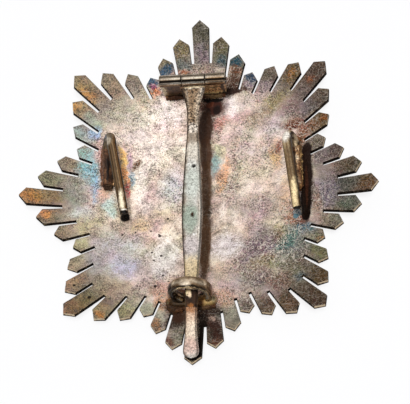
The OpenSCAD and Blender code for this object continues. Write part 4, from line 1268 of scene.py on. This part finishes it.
def wireLine(rows):
    lie = hooks["wire"] / 2 + hooks["gap"]
    foot, low, high, free = [Vector((x, y, backAt(x, y) + (lie if h is None else h))) for x, y, h in rows]
    half = (high - low) / 2
    out = (low - foot).normalized() * half.length
    near, far = hooks["footSteps"], hooks["freeSteps"]
    line = [foot + (low - foot) * k / near for k in range(near)]
    for k in range(hooks["bendSteps"] + 1):
        a = math.pi * k / hooks["bendSteps"]
        line.append((low + high) / 2 - half * math.cos(a) + out * math.sin(a))
    return line + [high + (free - high) * k / far for k in range(1, far + 1)]


def makeHook(name, rows, metal, footMetal, node, seed):
    line, r, sides = wireLine(rows), hooks["wire"] / 2, hooks["sides"]
    last = len(line) - 1

    def ringAt(i, centre, radius):
        t = (line[min(i + 1, last)] - line[max(i - 1, 0)]).normalized()
        side = t.cross(Vector((1, 0, 0)).cross(t)).normalized()  # points to +X
        up = t.cross(side)
        ring = []
        for c, s in circle(sides):
            # faint flats along the wire, from drawing and bending
            wave = 1 + hooks["flats"] * noise.noise(Vector((c * 1.6, s * 1.6 + seed, i * 0.12)))
            ring.append((centre + (side * c + up * s) * radius * wave) * mm)
        return ring

    start = (line[1] - line[0]).normalized()
    end = (line[-1] - line[-2]).normalized()
    rings = [ringAt(0, line[0] + start * away, r * share) for away, share in hooks["footEnd"]]
    for i in range(1, last):
        tip = max(0.0, (i - last + 4) / 4)
        rings.append(ringAt(i, line[i], r * (1 - (1 - hooks["taper"]) * tip)))
    rings += [ringAt(last, line[-1] - end * away, r * hooks["taper"] * share) for away, share in hooks["freeEnd"]]
    points, faces = loft(rings)
    flank = [0.5 + 0.5 * c for c, s in circle(sides)] * len(rings)
    finishes = [(grime, [len(faces) - 1]), (footMetal, range(hooks["footRings"] * sides))]
    piece = outward(newPiece(name, points, faces, metal, 45, finishes, {"flank": flank}))
    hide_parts(node)
    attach(piece, "root")
    return piece


makeHook("rightHook", hooks["right"], rightMetal, rightFoot, "right_hook", 0.0)
makeHook("leftHook", hooks["left"], leftMetal, leftFoot, "left_hook", 5.0)
print("side hooks made")


solder = {
    "sides": 14, "step": 0.25, "root": 0.25, "wobble": 0.6, "lumps": (900, 3, 0.65), "shift": 0.013,
    # radius, how many on a square millimetre, least and greatest size, and how flat in two directions
    "beadSize": 0.22, "beadsPerSquare": 2.2, "beadSizes": (0.35, 1), "beadFlat": (0.9, 0.6),
    # name, path on the plate, width, height, seed
    "runs": (
        ("solderRightFoot", ((24.0, 0.2), (24.7, 0.8), (24.6, 4.0), (24.4, 8.0), (24.2, 11.0)), 1.2, 1.7, 3),
        ("solderRightTop", ((24.4, 12.4), (23.4, 13.8), (21.6, 13.4)), 1.0, 0.4, 13),
        ("solderRightInner", ((23.0, 0.4), (22.9, 4.0), (22.6, 8.0), (22.3, 11.0)), 1.1, 1.4, 4),
        ("solderLeftEnd", ((-23.8, 3.1), (-21.8, 3.0)), 1.3, 2.2, 14),
        ("solderLeftFoot", ((-24.0, 3.6), (-24.2, 7.0), (-24.3, 10.5), (-24.1, 13.6)), 1.2, 0.8, 5),
        ("solderLeftInner", ((-21.6, 3.6), (-21.8, 7.0), (-21.9, 11.0)), 0.9, 0.7, 6),
        ("solderCatch", (
            (-7.0, -26.4), (-6.6, -28.6), (-4.4, -29.0), (-1.5, -28.9), (2.0, -28.9), (4.6, -28.6)), 1.1, 0.7, 7),
        ("solderCatchEnd", ((-6.4, -25.9), (-5.0, -25.4), (-3.2, -25.8)), 1.8, 2.0, 8),
        ("solderCatchBack", ((-6.8, -28.4), (-5.4, -29.3), (-3.2, -29.3)), 1.6, 1.2, 11),
        ("solderRightBend", ((23.2, 9.2), (23.0, 10.4)), 1.3, 2.6, 12),
        ("solderHinge", ((-8.9, 25.8), (-6.0, 25.7), (-2.0, 25.8), (2.0, 25.7), (5.9, 25.7)), 1.1, 0.9, 9),
        ("solderHingeBack", ((-8.9, 27.6), (-3.0, 27.7), (2.0, 27.7), (6.1, 27.6)), 0.9, 0.7, 10),
    ),
}


def crustTree():
    lengths = ("Width", "Height", "Wobble", "Bead size", "Bead density", "Vault radius", "Back height")
    flow, wire, found = newTree("crustTree", lengths, ("Seed",))
    path = flow.node("GeometryNodeMeshToCurve", None, {"Mesh": wire("Geometry")})
    path = flow.node("GeometryNodeResampleCurve", {"mode": "LENGTH"}, {"Curve": path, "Length": solder["step"] * mm})
    values = {"Resolution": solder["sides"], "Radius": wire("Width") / 2}
    outline = flow.node("GeometryNodeCurvePrimitiveCircle", None, values)
    run = flow.node("GeometryNodeCurveToMesh", None, {"Curve": path, "Profile Curve": outline, "Fill Caps": True})
    place = flow.node("GeometryNodeInputPosition")
    x, y, z = (place.part(k) for k in range(3))
    vault = wire("Vault radius")
    under = wire("Back height") + vault - flow.math("SQRT", vault * vault - x * x - y * y)
    # the round run is pressed flat on to the plate, then roughened
    below = flow.math("LESS_THAN", z, under)
    tall = between(wire("Height"), solder["root"] * mm, below) * 2
    run = moveBy(flow, run, flow.combine(z=(z - under) * (tall / wire("Width") - 1)))
    shifted = flow.vector("ADD", place, flow.combine(wire("Seed") * solder["shift"]))
    lump = swing(grain(flow, shifted, *solder["lumps"]), wire("Width")) * wire("Wobble") * 2
    side = flow.node("GeometryNodeInputNormal")
    run = moveBy(flow, run, flow.vector("MULTIPLY", side, flow.combine(lump, lump, lump)))
    values = {"Mesh": run, "Density": wire("Bead density"), "Seed": wire("Seed")}
    spots = flow.node("GeometryNodeDistributePointsOnFaces", None, values)
    bead = flow.node("GeometryNodeMeshIcoSphere", None, {"Radius": wire("Bead size"), "Subdivisions": 2})
    (least, most), (wide, tall) = solder["beadSizes"], solder["beadFlat"]
    size = flow.node("FunctionNodeRandomValue", None, {"Min": least, "Max": most, "Seed": wire("Seed")}, "Value")
    values = {"Points": spots, "Instance": bead, "Scale": flow.combine(size, size * wide, size * tall)}
    beads = flow.node("GeometryNodeInstanceOnPoints", None, values)
    beads = flow.node("GeometryNodeRealizeInstances", None, {"Geometry": beads})
    whole = flow.node("GeometryNodeRealizeInstances", None, {"Geometry": flow.join(run, beads)})
    whole = flow.node("GeometryNodeSetShadeSmooth", None, {"Geometry": whole})
    whole = flow.node("GeometryNodeSetMaterial", None, {"Geometry": whole, "Material": crust})
    flow.tree.links.new(whole.socket, flow.tree.nodes.new("NodeGroupOutput").inputs[0])
    return flow.tree, found


def makeSolder():
    tree, found = crustTree()
    for name, path, wide, high, seed in solder["runs"]:
        mesh = bpy.data.meshes.new(name)
        points = [(x * mm, y * mm, backAt(x, y) * mm) for x, y in path]
        mesh.from_pydata(points, [(k, k + 1) for k in range(len(path) - 1)], [])
        values = {
            "Width": wide * mm, "Height": high * mm, "Wobble": solder["wobble"], "Bead size": solder["beadSize"] * mm,
            "Bead density": solder["beadsPerSquare"] / mm ** 2, "Vault radius": vaultRadius * mm,
            "Back height": plate["backHeight"] * mm, "Seed": seed,
        }
        piece = growFrom(name, mesh, tree, found, values)
        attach(piece, "root")


makeSolder()
print("solder made")
